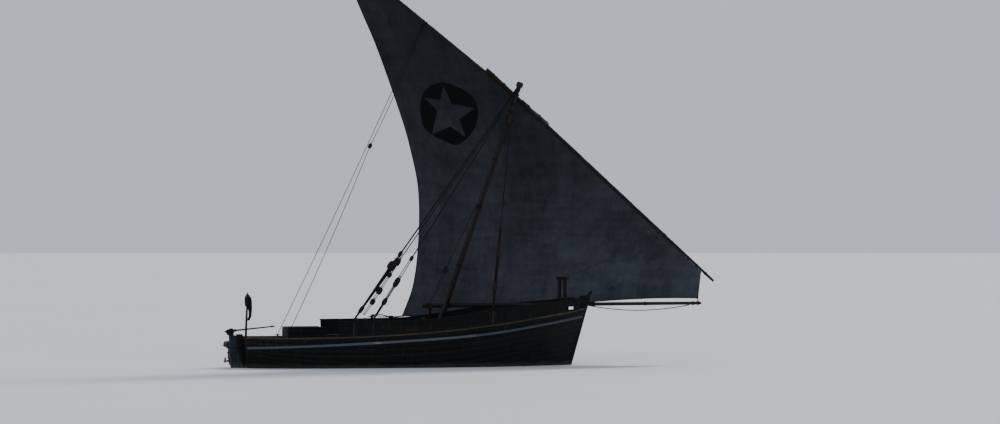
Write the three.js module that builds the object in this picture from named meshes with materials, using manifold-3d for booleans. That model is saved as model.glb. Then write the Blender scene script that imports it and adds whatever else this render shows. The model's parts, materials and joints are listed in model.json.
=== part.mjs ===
// A wooden East African cargo dhow under her single settee sail, as separate pieces.
// Millimetres. +X is the bow, +Y is port, +Z is up. The origin is amidships, on the
// centreline, at the level of the water she floats in.

import * as THREE from 'three';
import { mergeVertices } from 'three/addons/utils/BufferGeometryUtils.js';
import Module from 'manifold-3d';

const wasm = await Module();
wasm.setup();

// Driving dimensions of the hull

const seat = 0.3; // gap between pieces that touch
const plank = 45; // thickness of the side planking
const ribDepth = 90; // moulded depth of a rib
const ribWidth = 80; // width of a rib along the hull
const backboneHalf = 90; // half the width of keel, stem and sternpost
const transomThickness = 60;
const transomRake = 0.078; // how far the transom leans aft for each unit of height
const transomAtWater = -6870; // x of the transom's after face at the waterline
const keelBottomFore = -1240;
const keelBottomAft = -1400;
const foreDeckZ = 1560;
const foreDeckFrom = 3500;
const sternDeckZ = 830;
const sternDeckTo = -3560;
const deckBoard = 40;
const bottomJoin = 55; // height of the join between bottom planks and topside planks
const holdFloorZ = -620;
const beamTopZ = 1080;

// Sections of the hull from the transom to the stem. Each one runs from the foot at the
// backbone, past two control points, to the sheer: foot [x, z], garboard [y, z],
// bilge [y, z], sheer [x, y, z].
const sections = [
  { foot: [-6850, -330], garboard: [150, -160], bilge: [860, 20], sheer: [-6965, 950, 1190] },
  { foot: [-6350, -820], garboard: [190, -620], bilge: [1120, -180], sheer: [-6250, 1250, 1172] },
  { foot: [-5000, -1020], garboard: [420, -880], bilge: [1520, -330], sheer: [-5000, 1600, 1165] },
  { foot: [-3500, -1080], garboard: [820, -960], bilge: [1830, -310], sheer: [-3500, 1830, 1190] },
  { foot: [-1200, -1110], garboard: [1110, -990], bilge: [2000, -280], sheer: [-1200, 1970, 1285] },
  { foot: [1200, -1110], garboard: [1080, -980], bilge: [1960, -240], sheer: [1200, 1980, 1465] },
  { foot: [3100, -1080], garboard: [740, -930], bilge: [1600, -140], sheer: [3300, 1760, 1710] },
  { foot: [4500, -1040], garboard: [330, -840], bilge: [980, 60], sheer: [5000, 1240, 1950] },
  { foot: [5350, -980], garboard: [150, -640], bilge: [420, 560], sheer: [6250, 640, 2130] },
  { foot: [5930, -860], garboard: [100, -200], bilge: [100, 1400], sheer: [7110, 100, 2270] },
];

const ribPositions = [-6200, -5350, -4500, -3700, -2800, -1900, -900, 1750, 2700, 3600, 4500, 5350];
const beamPositions = [-3380, -2380, -1380, -380, 2180, 3180];

// Small geometry helpers

const at = (x, y, z) => new THREE.Vector3(x, y, z);

function flipIfInsideOut(positions, index) {
  let volume = 0;
  for (let i = 0; i < index.length; i += 3) {
    const [a, b, c] = [0, 1, 2].map((k) => at(...positions.slice(3 * index[i + k], 3 * index[i + k] + 3)));
    volume += a.dot(b.cross(c));
  }
  if (volume < 0) {
    for (let i = 0; i < index.length; i += 3) {
      [index[i], index[i + 1]] = [index[i + 1], index[i]];
    }
  }
}

// The triangles that close one ring of points, wound the same way round as the ring.
function capTriangles(ring) {
  const normal = at(0, 0, 0);
  ring.forEach((point, i) => normal.add(point.clone().cross(ring[(i + 1) % ring.length])));
  const size = [Math.abs(normal.x), Math.abs(normal.y), Math.abs(normal.z)];
  const drop = size.indexOf(Math.max(...size));
  const flat = ring.map((point) => {
    const xyz = point.toArray();
    xyz.splice(drop, 1);
    return new THREE.Vector2(...xyz);
  });
  const turn = Math.sign(THREE.ShapeUtils.area(flat));
  return THREE.ShapeUtils.triangulateShape(flat, []).map((face) => {
    const area = THREE.ShapeUtils.area(face.map((i) => flat[i]));
    return Math.sign(area) === turn ? face : [face[0], face[2], face[1]];
  });
}

// The same for a ring that runs up one side and down the other, closed rung by rung.
function ladderTriangles(ring) {
  const rungs = ring.length / 2;
  const faces = [];
  for (let i = 0; i < rungs - 1; i++) {
    const across = ring.length - 1 - i;
    faces.push([i, i + 1, across - 1], [i, across - 1, across]);
  }
  return faces;
}

// A closed skin over rings of points, all with the same count, capped at both ends. With
// evenHalves the second half of each ring is triangulated as the mirror of the first.
function loft(rings, cap = capTriangles, evenHalves = false) {
  const count = rings[0].length;
  const positions = rings.flat().flatMap((point) => point.toArray());
  const index = [];
  for (let r = 0; r < rings.length - 1; r++) {
    for (let i = 0; i < count; i++) {
      const a = r * count + i;
      const b = r * count + ((i + 1) % count);
      if (evenHalves && i >= count / 2) {
        index.push(a, b, a + count, b, b + count, a + count);
      } else {
        index.push(a, b, b + count, a, b + count, a + count);
      }
    }
  }
  const last = (rings.length - 1) * count;
  cap(rings[0]).forEach(([a, b, c]) => index.push(a, c, b));
  cap(rings[rings.length - 1]).forEach(([a, b, c]) => index.push(last + a, last + b, last + c));
  flipIfInsideOut(positions, index);
  const geometry = new THREE.BufferGeometry();
  geometry.setAttribute('position', new THREE.Float32BufferAttribute(positions, 3));
  geometry.setIndex(index);
  return geometry;
}

function solid(geometry) {
  const bare = geometry.clone();
  bare.deleteAttribute('normal');
  bare.deleteAttribute('uv');
  const merged = mergeVertices(bare, 1e-3);
  return new wasm.Manifold(
    new wasm.Mesh({
      numProp: 3,
      vertProperties: Float32Array.from(merged.getAttribute('position').array),
      triVerts: Uint32Array.from(merged.getIndex().array),
    })
  );
}

function geometryOf(body) {
  const mesh = body.getMesh();
  const geometry = new THREE.BufferGeometry();
  geometry.setAttribute('position', new THREE.BufferAttribute(mesh.vertProperties, 3));
  geometry.setIndex(new THREE.BufferAttribute(mesh.triVerts, 1));
  return geometry;
}

// A box from its lowest corner to its highest.
function box(low, high) {
  const geometry = new THREE.BoxGeometry(high[0] - low[0], high[1] - low[1], high[2] - low[2]);
  geometry.translate((low[0] + high[0]) / 2, (low[1] + high[1]) / 2, (low[2] + high[2]) / 2);
  return solid(geometry);
}

// A round bar from one point to another, with its own radius at each end.
function bar(from, to, radiusFrom, radiusTo = radiusFrom, sides = 10) {
  const axis = to.clone().sub(from);
  const geometry = new THREE.CylinderGeometry(radiusTo, radiusFrom, axis.length(), sides);
  geometry.translate(0, axis.length() / 2, 0);
  geometry.applyQuaternion(new THREE.Quaternion().setFromUnitVectors(at(0, 1, 0), axis.normalize()));
  geometry.translate(from.x, from.y, from.z);
  return solid(geometry);
}

// A flat outline given in side view, [x, z] each, as thick as from y = left to y = right.
function sidePlate(outline, left, right) {
  const ring = (y) => outline.map(([x, z]) => at(x, y, z));
  return solid(loft([ring(left), ring(right)]));
}

function joined(...bodies) {
  return bodies.reduce((whole, body) => whole.add(body));
}

const group = new THREE.Group();

function material(color, roughness, metalness = 0) {
  return new THREE.MeshStandardMaterial({ color, roughness, metalness });
}

const tarredWood = material('#1d1a18', 0.8);
const innerWood = material('#5b4632', 0.85);
const railWood = material('#9a7d55', 0.75);
const palePaint = material('#b9c4cb', 0.6);
const sparWood = material('#7a6248', 0.7);
const sailCloth = material('#9fa6ac', 0.95);
const rope = material('#6e6350', 0.95);
const rudderPaint = material('#5f7686', 0.6);
const iron = material('#3c3a38', 0.6, 0.7);
const motorPaint = material('#2b3136', 0.4);
const flagCloth = material('#4a4f55', 0.95);

function piece(name, body, look) {
  const mesh = new THREE.Mesh(geometryOf(body), look);
  mesh.name = name;
  group.add(mesh);
}

// Hull surface

const vectorCurve = (points) => new THREE.CatmullRomCurve3(points, false, 'centripetal');
const between = (a, b, share) => a + (b - a) * share;
const hullCurves = [
  vectorCurve(sections.map((s) => at(s.foot[0], backboneHalf, s.foot[1]))),
  vectorCurve(sections.map((s) => at(between(s.foot[0], s.sheer[0], 1 / 3), ...s.garboard))),
  vectorCurve(sections.map((s) => at(between(s.foot[0], s.sheer[0], 2 / 3), ...s.bilge))),
  vectorCurve(sections.map((s) => at(...s.sheer))),
];
const hullSteps = 20; // sections in the finished loft
const girthSteps = 7; // points from foot to sheer

// A port half section at u, from 0 at the transom to 1 at the stem, as a Bezier curve.
function section(u) {
  const [foot, garboard, bilge, sheer] = hullCurves.map((curve) => curve.getPoint(u));
  return new THREE.CubicBezierCurve3(foot, garboard, bilge, sheer);
}

// The hull's outward direction in the plane of the section, at t from foot to sheer.
function outward(curve, t) {
  const along = curve.getTangent(t);
  return at(0, along.z, -along.y).normalize();
}

// The whole closed hull volume, its skin moved inwards by inset and its top raised.
function hullVolume(inset, raise = 0) {
  const rings = [];
  for (let s = 0; s <= hullSteps; s++) {
    const curve = section(s / hullSteps);
    const half = [];
    for (let g = 0; g <= girthSteps; g++) {
      const t = g / girthSteps;
      const point = curve.getPoint(t).addScaledVector(outward(curve, t), -inset);
      point.y = Math.max(point.y, 12 + 0.2 * g);
      half.push(point);
    }
    if (raise > 0) {
      const top = half[half.length - 1].clone();
      top.z += raise;
      half.push(top);
    }
    const other = half.map((point) => at(point.x, -point.y, point.z)).reverse();
    rings.push([...half, ...other]);
  }
  return solid(loft(rings, ladderTriangles, true));
}

// Where the sheer reaches a given x, as u.
function sheerShare(x) {
  let low = 0;
  let high = 1;
  for (let i = 0; i < 40; i++) {
    const middle = (low + high) / 2;
    if (hullCurves[3].getPoint(middle).x < x) {
      low = middle;
    } else {
      high = middle;
    }
  }
  return low;
}

const transomX = (z) => transomAtWater - transomRake * z;
const tall = 4000;
// Everything forward of a plane that lies parallel to the transom's after face.
const forwardOf = (gap) =>
  sidePlate(
    [
      [transomX(-tall) + gap, -tall],
      [9000, -tall],
      [9000, tall],
      [transomX(tall) + gap, tall],
    ],
    -3000,
    3000
  );

const outer = hullVolume(0);
const hullInside = hullVolume(plank + seat, 400);
const insideRibs = hullVolume(plank + ribDepth + seat, 400);
const slabX = (low, high) => box([low, -2500, -2500], [high, 2500, 3500]);

const mirrored = (body) => {
  const geometry = geometryOf(body);
  geometry.scale(1, -1, 1);
  const index = geometry.getIndex().array;
  for (let i = 0; i < index.length; i += 3) {
    [index[i], index[i + 1]] = [index[i + 1], index[i]];
  }
  return solid(geometry);
};
function bothSides(name, portBody, look) {
  piece(`${name}_port`, portBody, look);
  piece(`${name}_starboard`, mirrored(portBody), look);
}

// Planking, a shell each side of the backbone, in bottom and topside strakes

const shell = outer
  .subtract(hullVolume(plank, 400))
  .intersect(forwardOf(transomThickness + seat))
  .intersect(box([-9000, backboneHalf + seat, -2500], [9000, 2500, 3500]));
const boxZ = (low, high) => box([-9000, -3000, low], [9000, 3000, high]);
bothSides('bottom_planking', shell.intersect(boxZ(-2500, bottomJoin)), tarredWood);
bothSides('topside_planking', shell.intersect(boxZ(bottomJoin + seat, 3500)), tarredWood);

// Transom

piece('transom', outer.intersect(forwardOf(0)).subtract(forwardOf(transomThickness)), tarredWood);

// Backbone: keel, stem and sternpost, set between the two shells

const postAftFace = (z) => -7000 - 0.166 * z; // x of the sternpost's after face
const keelAft = [-6620, keelBottomAft];
const scarfFoot = 4900;
const scarfTop = 5150;
const footZ = (x) => {
  let best = hullCurves[0].getPoint(0);
  for (let i = 0; i <= 400; i++) {
    const point = hullCurves[0].getPoint(i / 400);
    if (Math.abs(point.x - x) < Math.abs(best.x - x)) {
      best = point;
    }
  }
  return best.z;
};
const backboneTop = (x) => footZ(x) + 30;
const keelTopXs = [-6000, -5000, -3500, -1200, 1200, 3100, 4300];
// A timber of the backbone from its outline in side view, and the same grown by the seat.
const timber = (outline) => sidePlate(outline, -backboneHalf, backboneHalf);
const timberTool = (outline) =>
  joined(
    ...[[1, 0], [-1, 0], [0, 1], [0, -1]].map(([dx, dz]) =>
      sidePlate(
        outline.map(([x, z]) => [x + dx * seat, z + dz * seat]),
        -backboneHalf - seat,
        backboneHalf + seat
      )
    )
  );
const keelOutline = [
  [keelAft[0], keelAft[1]],
  [scarfFoot, keelBottomFore],
  [scarfTop, backboneTop(scarfTop)],
  ...keelTopXs.map((x) => [x, backboneTop(x)]).reverse(),
  [-6480, backboneTop(-6250)],
];
const keelTool = timberTool(keelOutline);
piece('keel', timber(keelOutline), tarredWood);

const stemOuter = vectorCurve([
  at(scarfFoot + seat, 0, keelBottomFore),
  at(5750, 0, -1130),
  at(6200, 0, -700),
  at(6467, 0, 60),
  at(6800, 0, 1150),
  at(7095, 0, 2228),
  at(7230, 0, 2700),
]);
const stemInner = vectorCurve([
  at(6790, 0, 2420),
  at(6500, 0, 1350),
  at(6120, 0, 0),
  at(5800, 0, -640),
  at(scarfTop + seat + 20, 0, backboneTop(scarfTop)),
]);
const stemHead = [
  [7345, 2990],
  [7235, 2965],
  [7130, 2800],
  [6840, 2790],
];
const stemOutline = [
  ...stemOuter.getPoints(14).map((p) => [p.x, p.z]),
  ...stemHead,
  ...stemInner.getPoints(9).map((p) => [p.x, p.z]),
];
piece('stem_post', timber(stemOutline).subtract(keelTool), tarredWood);

const transomFootZ = sections[0].foot[1];
const postTop = 1330;
const postOutline = [
  [keelAft[0] - seat, keelAft[1]],
  [postAftFace(keelBottomAft), keelBottomAft],
  [postAftFace(postTop), postTop],
  [transomX(postTop) - seat, postTop],
  [transomX(transomFootZ) - seat, transomFootZ - 12],
  [transomX(transomFootZ) + 260, transomFootZ - 20],
  [-6480 - seat, backboneTop(-6250)],
];
const transomTool = hullVolume(-seat)
  .intersect(forwardOf(-seat))
  .subtract(forwardOf(transomThickness + seat));
piece('stern_post', timber(postOutline).subtract(keelTool).subtract(transomTool), tarredWood);

// Keelson with the floor timbers across the keel, and the ribs of each side on a stringer

const ribFootZ = -1120; // no rib reaches lower than this
const ribBand = (width) => joined(...ribPositions.map((x) => slabX(x - width / 2, x + width / 2)));
// The floor timbers rise towards the sharp ends of the hull.
const sharpEndFrom = 4000;
const floorTopZ = (x) => footZ(x) + 250 + Math.max(0, Math.abs(x) - sharpEndFrom) * 0.26;
const keelsonSteps = 20;
const keelsonHalf = 100;
function keelsonRings(gap) {
  const rings = [];
  for (let i = 0; i <= keelsonSteps; i++) {
    const x = between(-6340 - gap, 5740 + gap, i / keelsonSteps);
    const half = keelsonHalf + gap;
    const low = footZ(x) + 60 - gap;
    const high = floorTopZ(x) + gap;
    rings.push([at(x, -half, low), at(x, half, low), at(x, half, high), at(x, -half, high)]);
  }
  return rings;
}
const floorToolDrop = 10; // a grown copy reaches this many gaps lower, into the planking
const floorTimbers = (gap) =>
  joined(
    ...ribPositions.map((x) =>
      box(
        [x - ribWidth / 2 - gap, -2500, footZ(x) + 40 - floorToolDrop * gap],
        [x + ribWidth / 2 + gap, 2500, floorTopZ(x) - 10 + gap]
      )
    )
  );
const keelson = (gap) => solid(loft(keelsonRings(gap))).add(floorTimbers(gap));
const backboneTool = joined(keelTool, timberTool(stemOutline), timberTool(postOutline));
const insideTransom = forwardOf(transomThickness + seat);
piece(
  'keelson_and_floors',
  keelson(0).intersect(hullInside).intersect(insideTransom).subtract(backboneTool),
  innerWood
);

const stringer = { low: 300, high: 420, depth: 55, from: -6240, to: 5390 };
const stringerBand = hullVolume(plank + ribDepth - 20, 400)
  .subtract(hullVolume(plank + ribDepth + stringer.depth, 400))
  .intersect(box([stringer.from, 0, stringer.low], [stringer.to, 2500, stringer.high]));
const ribSide = hullInside
  .subtract(hullVolume(plank + ribDepth, 400))
  .intersect(outer)
  .intersect(ribBand(ribWidth))
  .subtract(keelson(seat))
  .intersect(box([-9000, backboneHalf + seat, -2500], [9000, 2500, 3500]))
  .add(stringerBand)
  .intersect(insideTransom)
  .subtract(boxZ(-2500, ribFootZ));
bothSides('ribs', ribSide, innerWood);

// Mast, raked forward, with its truck

const mastFoot = at(120, 0, -790);
const mastTop = at(4345, 0, 11400);
const mastAxis = mastTop.clone().sub(mastFoot).normalize();
const mastLength = mastTop.distanceTo(mastFoot);
const mastRadiusFoot = 125;
const mastRadiusTop = 78;
const truckRadius = 130;
const mastRadiusAt = (along) => between(mastRadiusFoot, mastRadiusTop, along / mastLength);
const onMast = (along) => mastFoot.clone().addScaledVector(mastAxis, along);
const mastProfile = [
  [0, 0],
  [mastRadiusFoot, 0],
  [mastRadiusAt(mastLength - 2 * truckRadius), mastLength - 2 * truckRadius],
  [truckRadius * 0.8, mastLength - 1.5 * truckRadius],
  [truckRadius, mastLength - 0.9 * truckRadius],
  [truckRadius * 0.75, mastLength - 0.25 * truckRadius],
  [0, mastLength],
];
function placedOnMast(geometry) {
  geometry.applyQuaternion(new THREE.Quaternion().setFromUnitVectors(at(0, 1, 0), mastAxis));
  geometry.translate(mastFoot.x, mastFoot.y, mastFoot.z);
  return solid(geometry);
}
const mast = placedOnMast(new THREE.LatheGeometry(mastProfile.map((p) => new THREE.Vector2(...p)), 14));
piece('mast', mast, sparWood);
// The mast grown by a clearance, to cut what it stands in or what hugs it.
const mastTool = (gap) =>
  bar(
    onMast(-gap),
    onMast(mastLength - 2 * truckRadius),
    mastRadiusFoot + gap,
    mastRadiusAt(mastLength - 2 * truckRadius) + gap,
    14
  );

// The space that ribs and backbone take up, with the seat all round, to notch what meets them.
const ribNotch = hullVolume(plank - 10, 400)
  .subtract(hullVolume(plank + ribDepth + 2 * seat, 400))
  .intersect(ribBand(ribWidth + 2 * seat))
  .add(backboneTool);

const stepFrom = -330;
const stepTo = 620;
const keelsonNearMast = keelsonRings(0).filter((ring) => Math.abs(ring[0].x) < 1000);
const keelsonTop = Math.max(...keelsonNearMast.map((ring) => ring[2].z));
const mastStep = box([stepFrom, -190, keelsonTop + seat], [stepTo, 190, keelsonTop + 210])
  .subtract(mastTool(seat))
  .subtract(ribNotch);
piece('mast_step', mastStep, innerWood);

// Beams over the hold, tied by a shelf along each side, and the heavy thwart at the mast

const shelf = insideRibs
  .subtract(hullVolume(plank + ribDepth + 75, 400))
  .intersect(box([-3540, -2500, beamTopZ - 230], [3400, 2500, beamTopZ - 110]));
const beams = joined(
  ...beamPositions.map((x) => box([x - 60, -2500, beamTopZ - 130], [x + 60, 2500, beamTopZ]))
).intersect(insideRibs);
piece('hold_beams', shelf.add(beams), innerWood);

const thwartX = 930;
const mastThwart = box([thwartX - 260, -2500, 1180], [thwartX + 260, 2500, 1340])
  .intersect(hullInside)
  .subtract(mastTool(6))
  .subtract(ribNotch);
piece('mast_thwart', mastThwart, innerWood);

// Decks and the floor of the hold, notched round the ribs

const foreDeck = box([foreDeckFrom, -2500, foreDeckZ], [7000, 2500, foreDeckZ + deckBoard])
  .intersect(hullVolume(plank + seat, 400))
  .subtract(ribNotch);
const sternDeck = box([-7200, -2500, sternDeckZ], [sternDeckTo, 2500, sternDeckZ + deckBoard])
  .intersect(hullVolume(plank + seat, 400))
  .intersect(forwardOf(transomThickness + seat))
  .subtract(ribNotch);
piece('fore_deck', foreDeck, innerWood);
piece('stern_deck', sternDeck, innerWood);
const holdFloor = box([-4000, -2500, holdFloorZ], [3900, 2500, holdFloorZ + deckBoard])
  .intersect(insideRibs)
  .subtract(mastTool(6));
piece('hold_floor', holdFloor, innerWood);

// Rail caps, and the raised wash strakes that start abruptly aft of midships

const capHeight = 45;
const railSteps = 14;
const railEnd = 6960;
const strakeFrom = -3480;
const strakeTo = 6680;
const strakeTopCurve = vectorCurve([
  at(-3480, 0, 1862),
  at(-1000, 0, 1885),
  at(140, 0, 1925),
  at(1550, 0, 2105),
  at(2820, 0, 2300),
  at(4230, 0, 2465),
  at(5900, 0, 2635),
  at(6900, 0, 2740),
]);
function heightOf(curve, x) {
  const points = curve.getPoints(120);
  const next = points.findIndex((point) => point.x >= x);
  const [a, b] = [points[Math.max(next - 1, 0)], points[Math.max(next, 1)]];
  return between(a.z, b.z, (x - a.x) / (b.x - a.x));
}
const strakeTop = (x) => heightOf(strakeTopCurve, x);

// A strip along the port sheer: corners gives, for each place, four [outward, up] pairs.
function sheerStrip(fromX, toX, steps, corners) {
  const [first, last] = [sheerShare(fromX), sheerShare(toX)];
  const rings = [];
  for (let i = 0; i <= steps; i++) {
    const u = between(first, last, i / steps);
    const point = hullCurves[3].getPoint(u);
    const along = hullCurves[3].getTangent(u);
    const out = at(-along.y, along.x, 0).normalize();
    rings.push(
      corners(point).map(([n, up]) => point.clone().addScaledVector(out, n).add(at(0, 0, up)))
    );
  }
  return solid(loft(rings));
}
const capSteps = 20;
const capStrip = (low, high, spread) =>
  sheerStrip(-6960, railEnd, capSteps, () => [
    [-150 - spread, low],
    [28 + spread, low],
    [28 + spread, high],
    [-150 - spread, high],
  ]);
const railCap = capStrip(-16, capHeight, 0)
  .subtract(hullVolume(-seat, seat))
  .intersect(box([-9000, backboneHalf + seat, -2500], [9000, 2500, 3500]));
const capTool = capStrip(-30, capHeight + seat, 10);
bothSides('rail_cap', railCap, railWood);

const strakeBoard = 36;
const strakeFlare = 0.16;
const stanchionPositions = [-3300, -1900, -500, 900, 2300, 3700, 5100];
const strakeRing = (low, inner, outerEdge) => (point) => {
  const height = strakeTop(point.x) - point.z;
  return [
    [inner + low * strakeFlare, low],
    [outerEdge + low * strakeFlare, low],
    [outerEdge + height * strakeFlare, height],
    [inner + height * strakeFlare, height],
  ];
};
const strakeLow = capHeight - 12;
const strakeStrip = (inner, outerEdge) =>
  sheerStrip(strakeFrom, strakeTo, railSteps, strakeRing(strakeLow, inner, outerEdge));
const strakeSkin = strakeStrip(-strakeBoard / 2, strakeBoard / 2);
const strakeStiffener = strakeStrip(-95, -10);
const hawse = { from: 6060, to: 6500, low: 2205, high: 2365 };
const washStrake = strakeSkin
  .add(strakeStiffener.intersect(joined(...stanchionPositions.map((x) => slabX(x - 35, x + 35)))))
  .add(
    sheerStrip(strakeFrom, strakeTo, railSteps, (point) => {
      const height = strakeTop(point.x) - point.z;
      const lean = height * strakeFlare;
      return [
        [lean - 40, height - 40],
        [lean + 32, height - 40],
        [lean + 32, height + 6],
        [lean - 40, height + 6],
      ];
    })
  )
  .subtract(box([hawse.from, 0, hawse.low], [hawse.to, 2500, hawse.high]))
  .subtract(capTool);
bothSides('wash_strake', washStrake, tarredWood);

// The pale sheer stripe, a wale that stands proud of the planking

const stripeCurve = vectorCurve([
  at(-6980, 0, 800),
  at(-4800, 0, 868),
  at(-3230, 0, 938),
  at(-1020, 0, 1052),
  at(2300, 0, 1292),
  at(4970, 0, 1655),
  at(6960, 0, 1965),
]);
const stripeHalf = 48;
const stripeProud = 26;
function stripePlace(u) {
  const curve = section(u);
  let best = 1;
  for (let i = 0; i <= 200; i++) {
    const point = curve.getPoint(i / 200);
    const target = heightOf(stripeCurve, Math.min(Math.max(point.x, -6970), 6950));
    if (point.z <= target) {
      best = i / 200;
    }
  }
  return { curve, t: best };
}
const stripeRings = [];
for (let s = 0; s <= hullSteps; s++) {
  const { curve, t } = stripePlace(s / hullSteps);
  const point = curve.getPoint(t);
  const out = outward(curve, t);
  const up = at(0, -out.z, out.y);
  stripeRings.push(
    [
      [-20, -stripeHalf],
      [stripeProud, -stripeHalf],
      [stripeProud, stripeHalf],
      [-20, stripeHalf],
    ].map(([n, lift]) => point.clone().addScaledVector(out, n).addScaledVector(up, lift))
  );
}
const stripe = solid(loft(stripeRings))
  .subtract(hullVolume(-seat, 400))
  .intersect(box([-9000, backboneHalf + seat, -2500], [6900, 2500, 3500]));
bothSides('sheer_stripe', stripe, palePaint);

// Deck locker near the stern, with its lid hinged along the after edge

const locker = { from: -5260, to: -3830, half: 640, wall: 30, lid: 34, top: 1566 };
const lockerFoot = sternDeckZ + deckBoard + seat;
const lockerHollow = box(
  [locker.from + locker.wall, -locker.half + locker.wall, lockerFoot + locker.wall],
  [locker.to - locker.wall, locker.half - locker.wall, locker.top + 10]
);
const lockerBox = box(
  [locker.from, -locker.half, lockerFoot],
  [locker.to, locker.half, locker.top]
).subtract(lockerHollow);
piece('deck_locker', lockerBox, innerWood);
const lid = box(
  [locker.from - 30, -locker.half - 30, locker.top + seat],
  [locker.to + 30, locker.half + 30, locker.top + seat + locker.lid]
);
piece('deck_locker_lid', lid, innerWood);

// Breasthook, bowsprit with its chock and crutch, and the gallows frame at the bow

const breasthookTop = 2088;
const breasthook = box([6020, -1200, breasthookTop - 90], [7100, 1200, breasthookTop])
  .intersect(hullInside)
  .subtract(ribNotch)
  .intersect(outer);
piece('breasthook', breasthook, innerWood);

const spritHeel = at(360, 412, 2415);
const spritTip = at(11950, 60, 2470);
const spritRadiusHeel = 86;
const spritRadiusTip = 52;
const sprit = bar(spritHeel, spritTip, spritRadiusHeel, spritRadiusTip, 12);
const spritTool = bar(spritHeel, spritTip, spritRadiusHeel + seat, spritRadiusTip + seat, 12);
piece('bowsprit', sprit, sparWood);
const spritAt = (x) => spritHeel.clone().lerp(spritTip, (x - spritHeel.x) / (spritTip.x - spritHeel.x));
const chockX = 6330;
const chock = box(
  [chockX - 70, spritAt(chockX).y - 70, breasthookTop + seat],
  [chockX + 70, spritAt(chockX).y + 70, spritAt(chockX).z - 20]
).subtract(spritTool);
piece('bowsprit_chock', chock, innerWood);
const crutchX = 700;
const crutch = box(
  [crutchX - 45, spritAt(crutchX).y - 45, 1340 + seat],
  [crutchX + 45, spritAt(crutchX).y + 45, spritAt(crutchX).z - 60]
)
  .add(
    box(
      [crutchX - 60, spritAt(crutchX).y - 170, spritAt(crutchX).z - 150],
      [crutchX + 60, spritAt(crutchX).y + 170, spritAt(crutchX).z - 30]
    )
  )
  .subtract(spritTool)
  .subtract(mastTool(6));
piece('bowsprit_crutch', crutch, innerWood);

const gallows = { x: 6090, half: 430, post: 58, top: 3440, arm: 815, bar: 58 };
const gallowsFrame = joined(
  ...[-1, 1].map((side) =>
    box(
      [gallows.x - gallows.post, side * gallows.half - gallows.post, breasthookTop + seat],
      [gallows.x + gallows.post, side * gallows.half + gallows.post, gallows.top + 40]
    )
  ),
  box(
    [gallows.x - gallows.bar, -gallows.arm, gallows.top],
    [gallows.x + gallows.bar, gallows.arm, gallows.top + 2 * gallows.bar]
  )
);
piece('bow_gallows', gallowsFrame, innerWood);

// Yard: two spars lashed side by side over the middle, to port of the mast

const lowerTip = at(12440, -90, 3370);
const lowerHeel = at(3000, 250, 11930);
const upperHeel = at(5600, 322, 9720);
const upperTip = at(-3200, 638, 16780);
const spars = {
  lower: { from: lowerTip, to: lowerHeel, radiusFrom: 42, radiusTo: 74 },
  upper: { from: upperHeel, to: upperTip, radiusFrom: 72, radiusTo: 38 },
};
const sparBody = (spar, gap = 0) =>
  bar(spar.from, spar.to, spar.radiusFrom + gap, spar.radiusTo + gap, 10);
const lashingPlaces = [3300, 3800, 4700, 5200];
const sparPoint = (spar, x) =>
  spar.from.clone().lerp(spar.to, (x - spar.from.x) / (spar.to.x - spar.from.x));
const yardDirection = upperTip.clone().sub(lowerTip).normalize();
const lashings = lashingPlaces.map((x) => {
  const [a, b] = [sparPoint(spars.lower, x), sparPoint(spars.upper, x)];
  const centre = a.clone().lerp(b, 0.5);
  const reach = a.distanceTo(b) / 2 + 92;
  const band = new THREE.CylinderGeometry(1, 1, 120, 10);
  band.scale(reach, 1, 100);
  const side = b.clone().sub(a).normalize();
  const third = side.clone().cross(yardDirection).normalize();
  band.applyMatrix4(new THREE.Matrix4().makeBasis(side, yardDirection, third));
  band.translate(centre.x, centre.y, centre.z);
  return solid(band);
});
piece('yard_lower_spar', sparBody(spars.lower), sparWood);
const upperSpar = joined(sparBody(spars.upper), ...lashings)
  .subtract(sparBody(spars.lower, seat))
  .subtract(mastTool(8));
piece('yard_upper_spar', upperSpar, sparWood);

// The parrel, a collar that holds the yard to the mast and turns round it

const parrelAt = 12346; // distance of the parrel from the foot of the mast
const parrelSides = 16;
const parrelHalf = 25; // half its height along the mast
const parrelDeep = 58.5; // out to the yard
const parrelInner = (mastRadiusAt(parrelAt) + 0.6) / Math.cos(Math.PI / parrelSides);
const parrelProfile = [
  [parrelInner, -parrelHalf],
  [parrelInner + parrelDeep, -parrelHalf],
  [parrelInner + parrelDeep, parrelHalf],
  [parrelInner, parrelHalf],
  [parrelInner, -parrelHalf],
];
const parrel = placedOnMast(
  new THREE.LatheGeometry(parrelProfile.map(([r, h]) => new THREE.Vector2(r, parrelAt + h)), parrelSides)
)
  .subtract(sparBody(spars.lower, seat))
  .subtract(upperSpar);
piece('parrel', parrel, rope);

// Sail: a settee sail with a very short luff, bellied out to port

const sailThickness = 12;
const luffTop = sparPoint(spars.lower, 11950);
const tack = at(11810, 20, 2670);
const clew = at(-60, 2190, 1960);
const underYard = at(yardDirection.z, 0, -yardDirection.x).normalize().negate();
const crossing = sparPoint(spars.lower, 4360)
  .lerp(sparPoint(spars.upper, 4360), 0.5)
  .addScaledVector(underYard, 92);
const peak = sparPoint(spars.upper, -2950);
const footCurve = new THREE.CubicBezierCurve3(tack, at(8000, 1950, 2780), at(3500, 3300, 1850), clew);
const leechCurve = vectorCurve([
  clew,
  at(420, 2400, 3150),
  at(690, 2480, 5200),
  at(620, 2350, 7240),
  at(240, 2000, 8750),
  at(-330, 1650, 10370),
  at(-1300, 1180, 12750),
  at(-2230, 820, 14720),
  peak,
]);
const headSpans = [luffTop.distanceTo(crossing), crossing.distanceTo(peak)];
const headTurn = headSpans[0] / (headSpans[0] + headSpans[1]);
function headPoint(u) {
  if (u < headTurn) {
    return luffTop.clone().lerp(crossing, u / headTurn);
  }
  return crossing.clone().lerp(peak, (u - headTurn) / (1 - headTurn));
}
const bellyDepth = 950;
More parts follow.
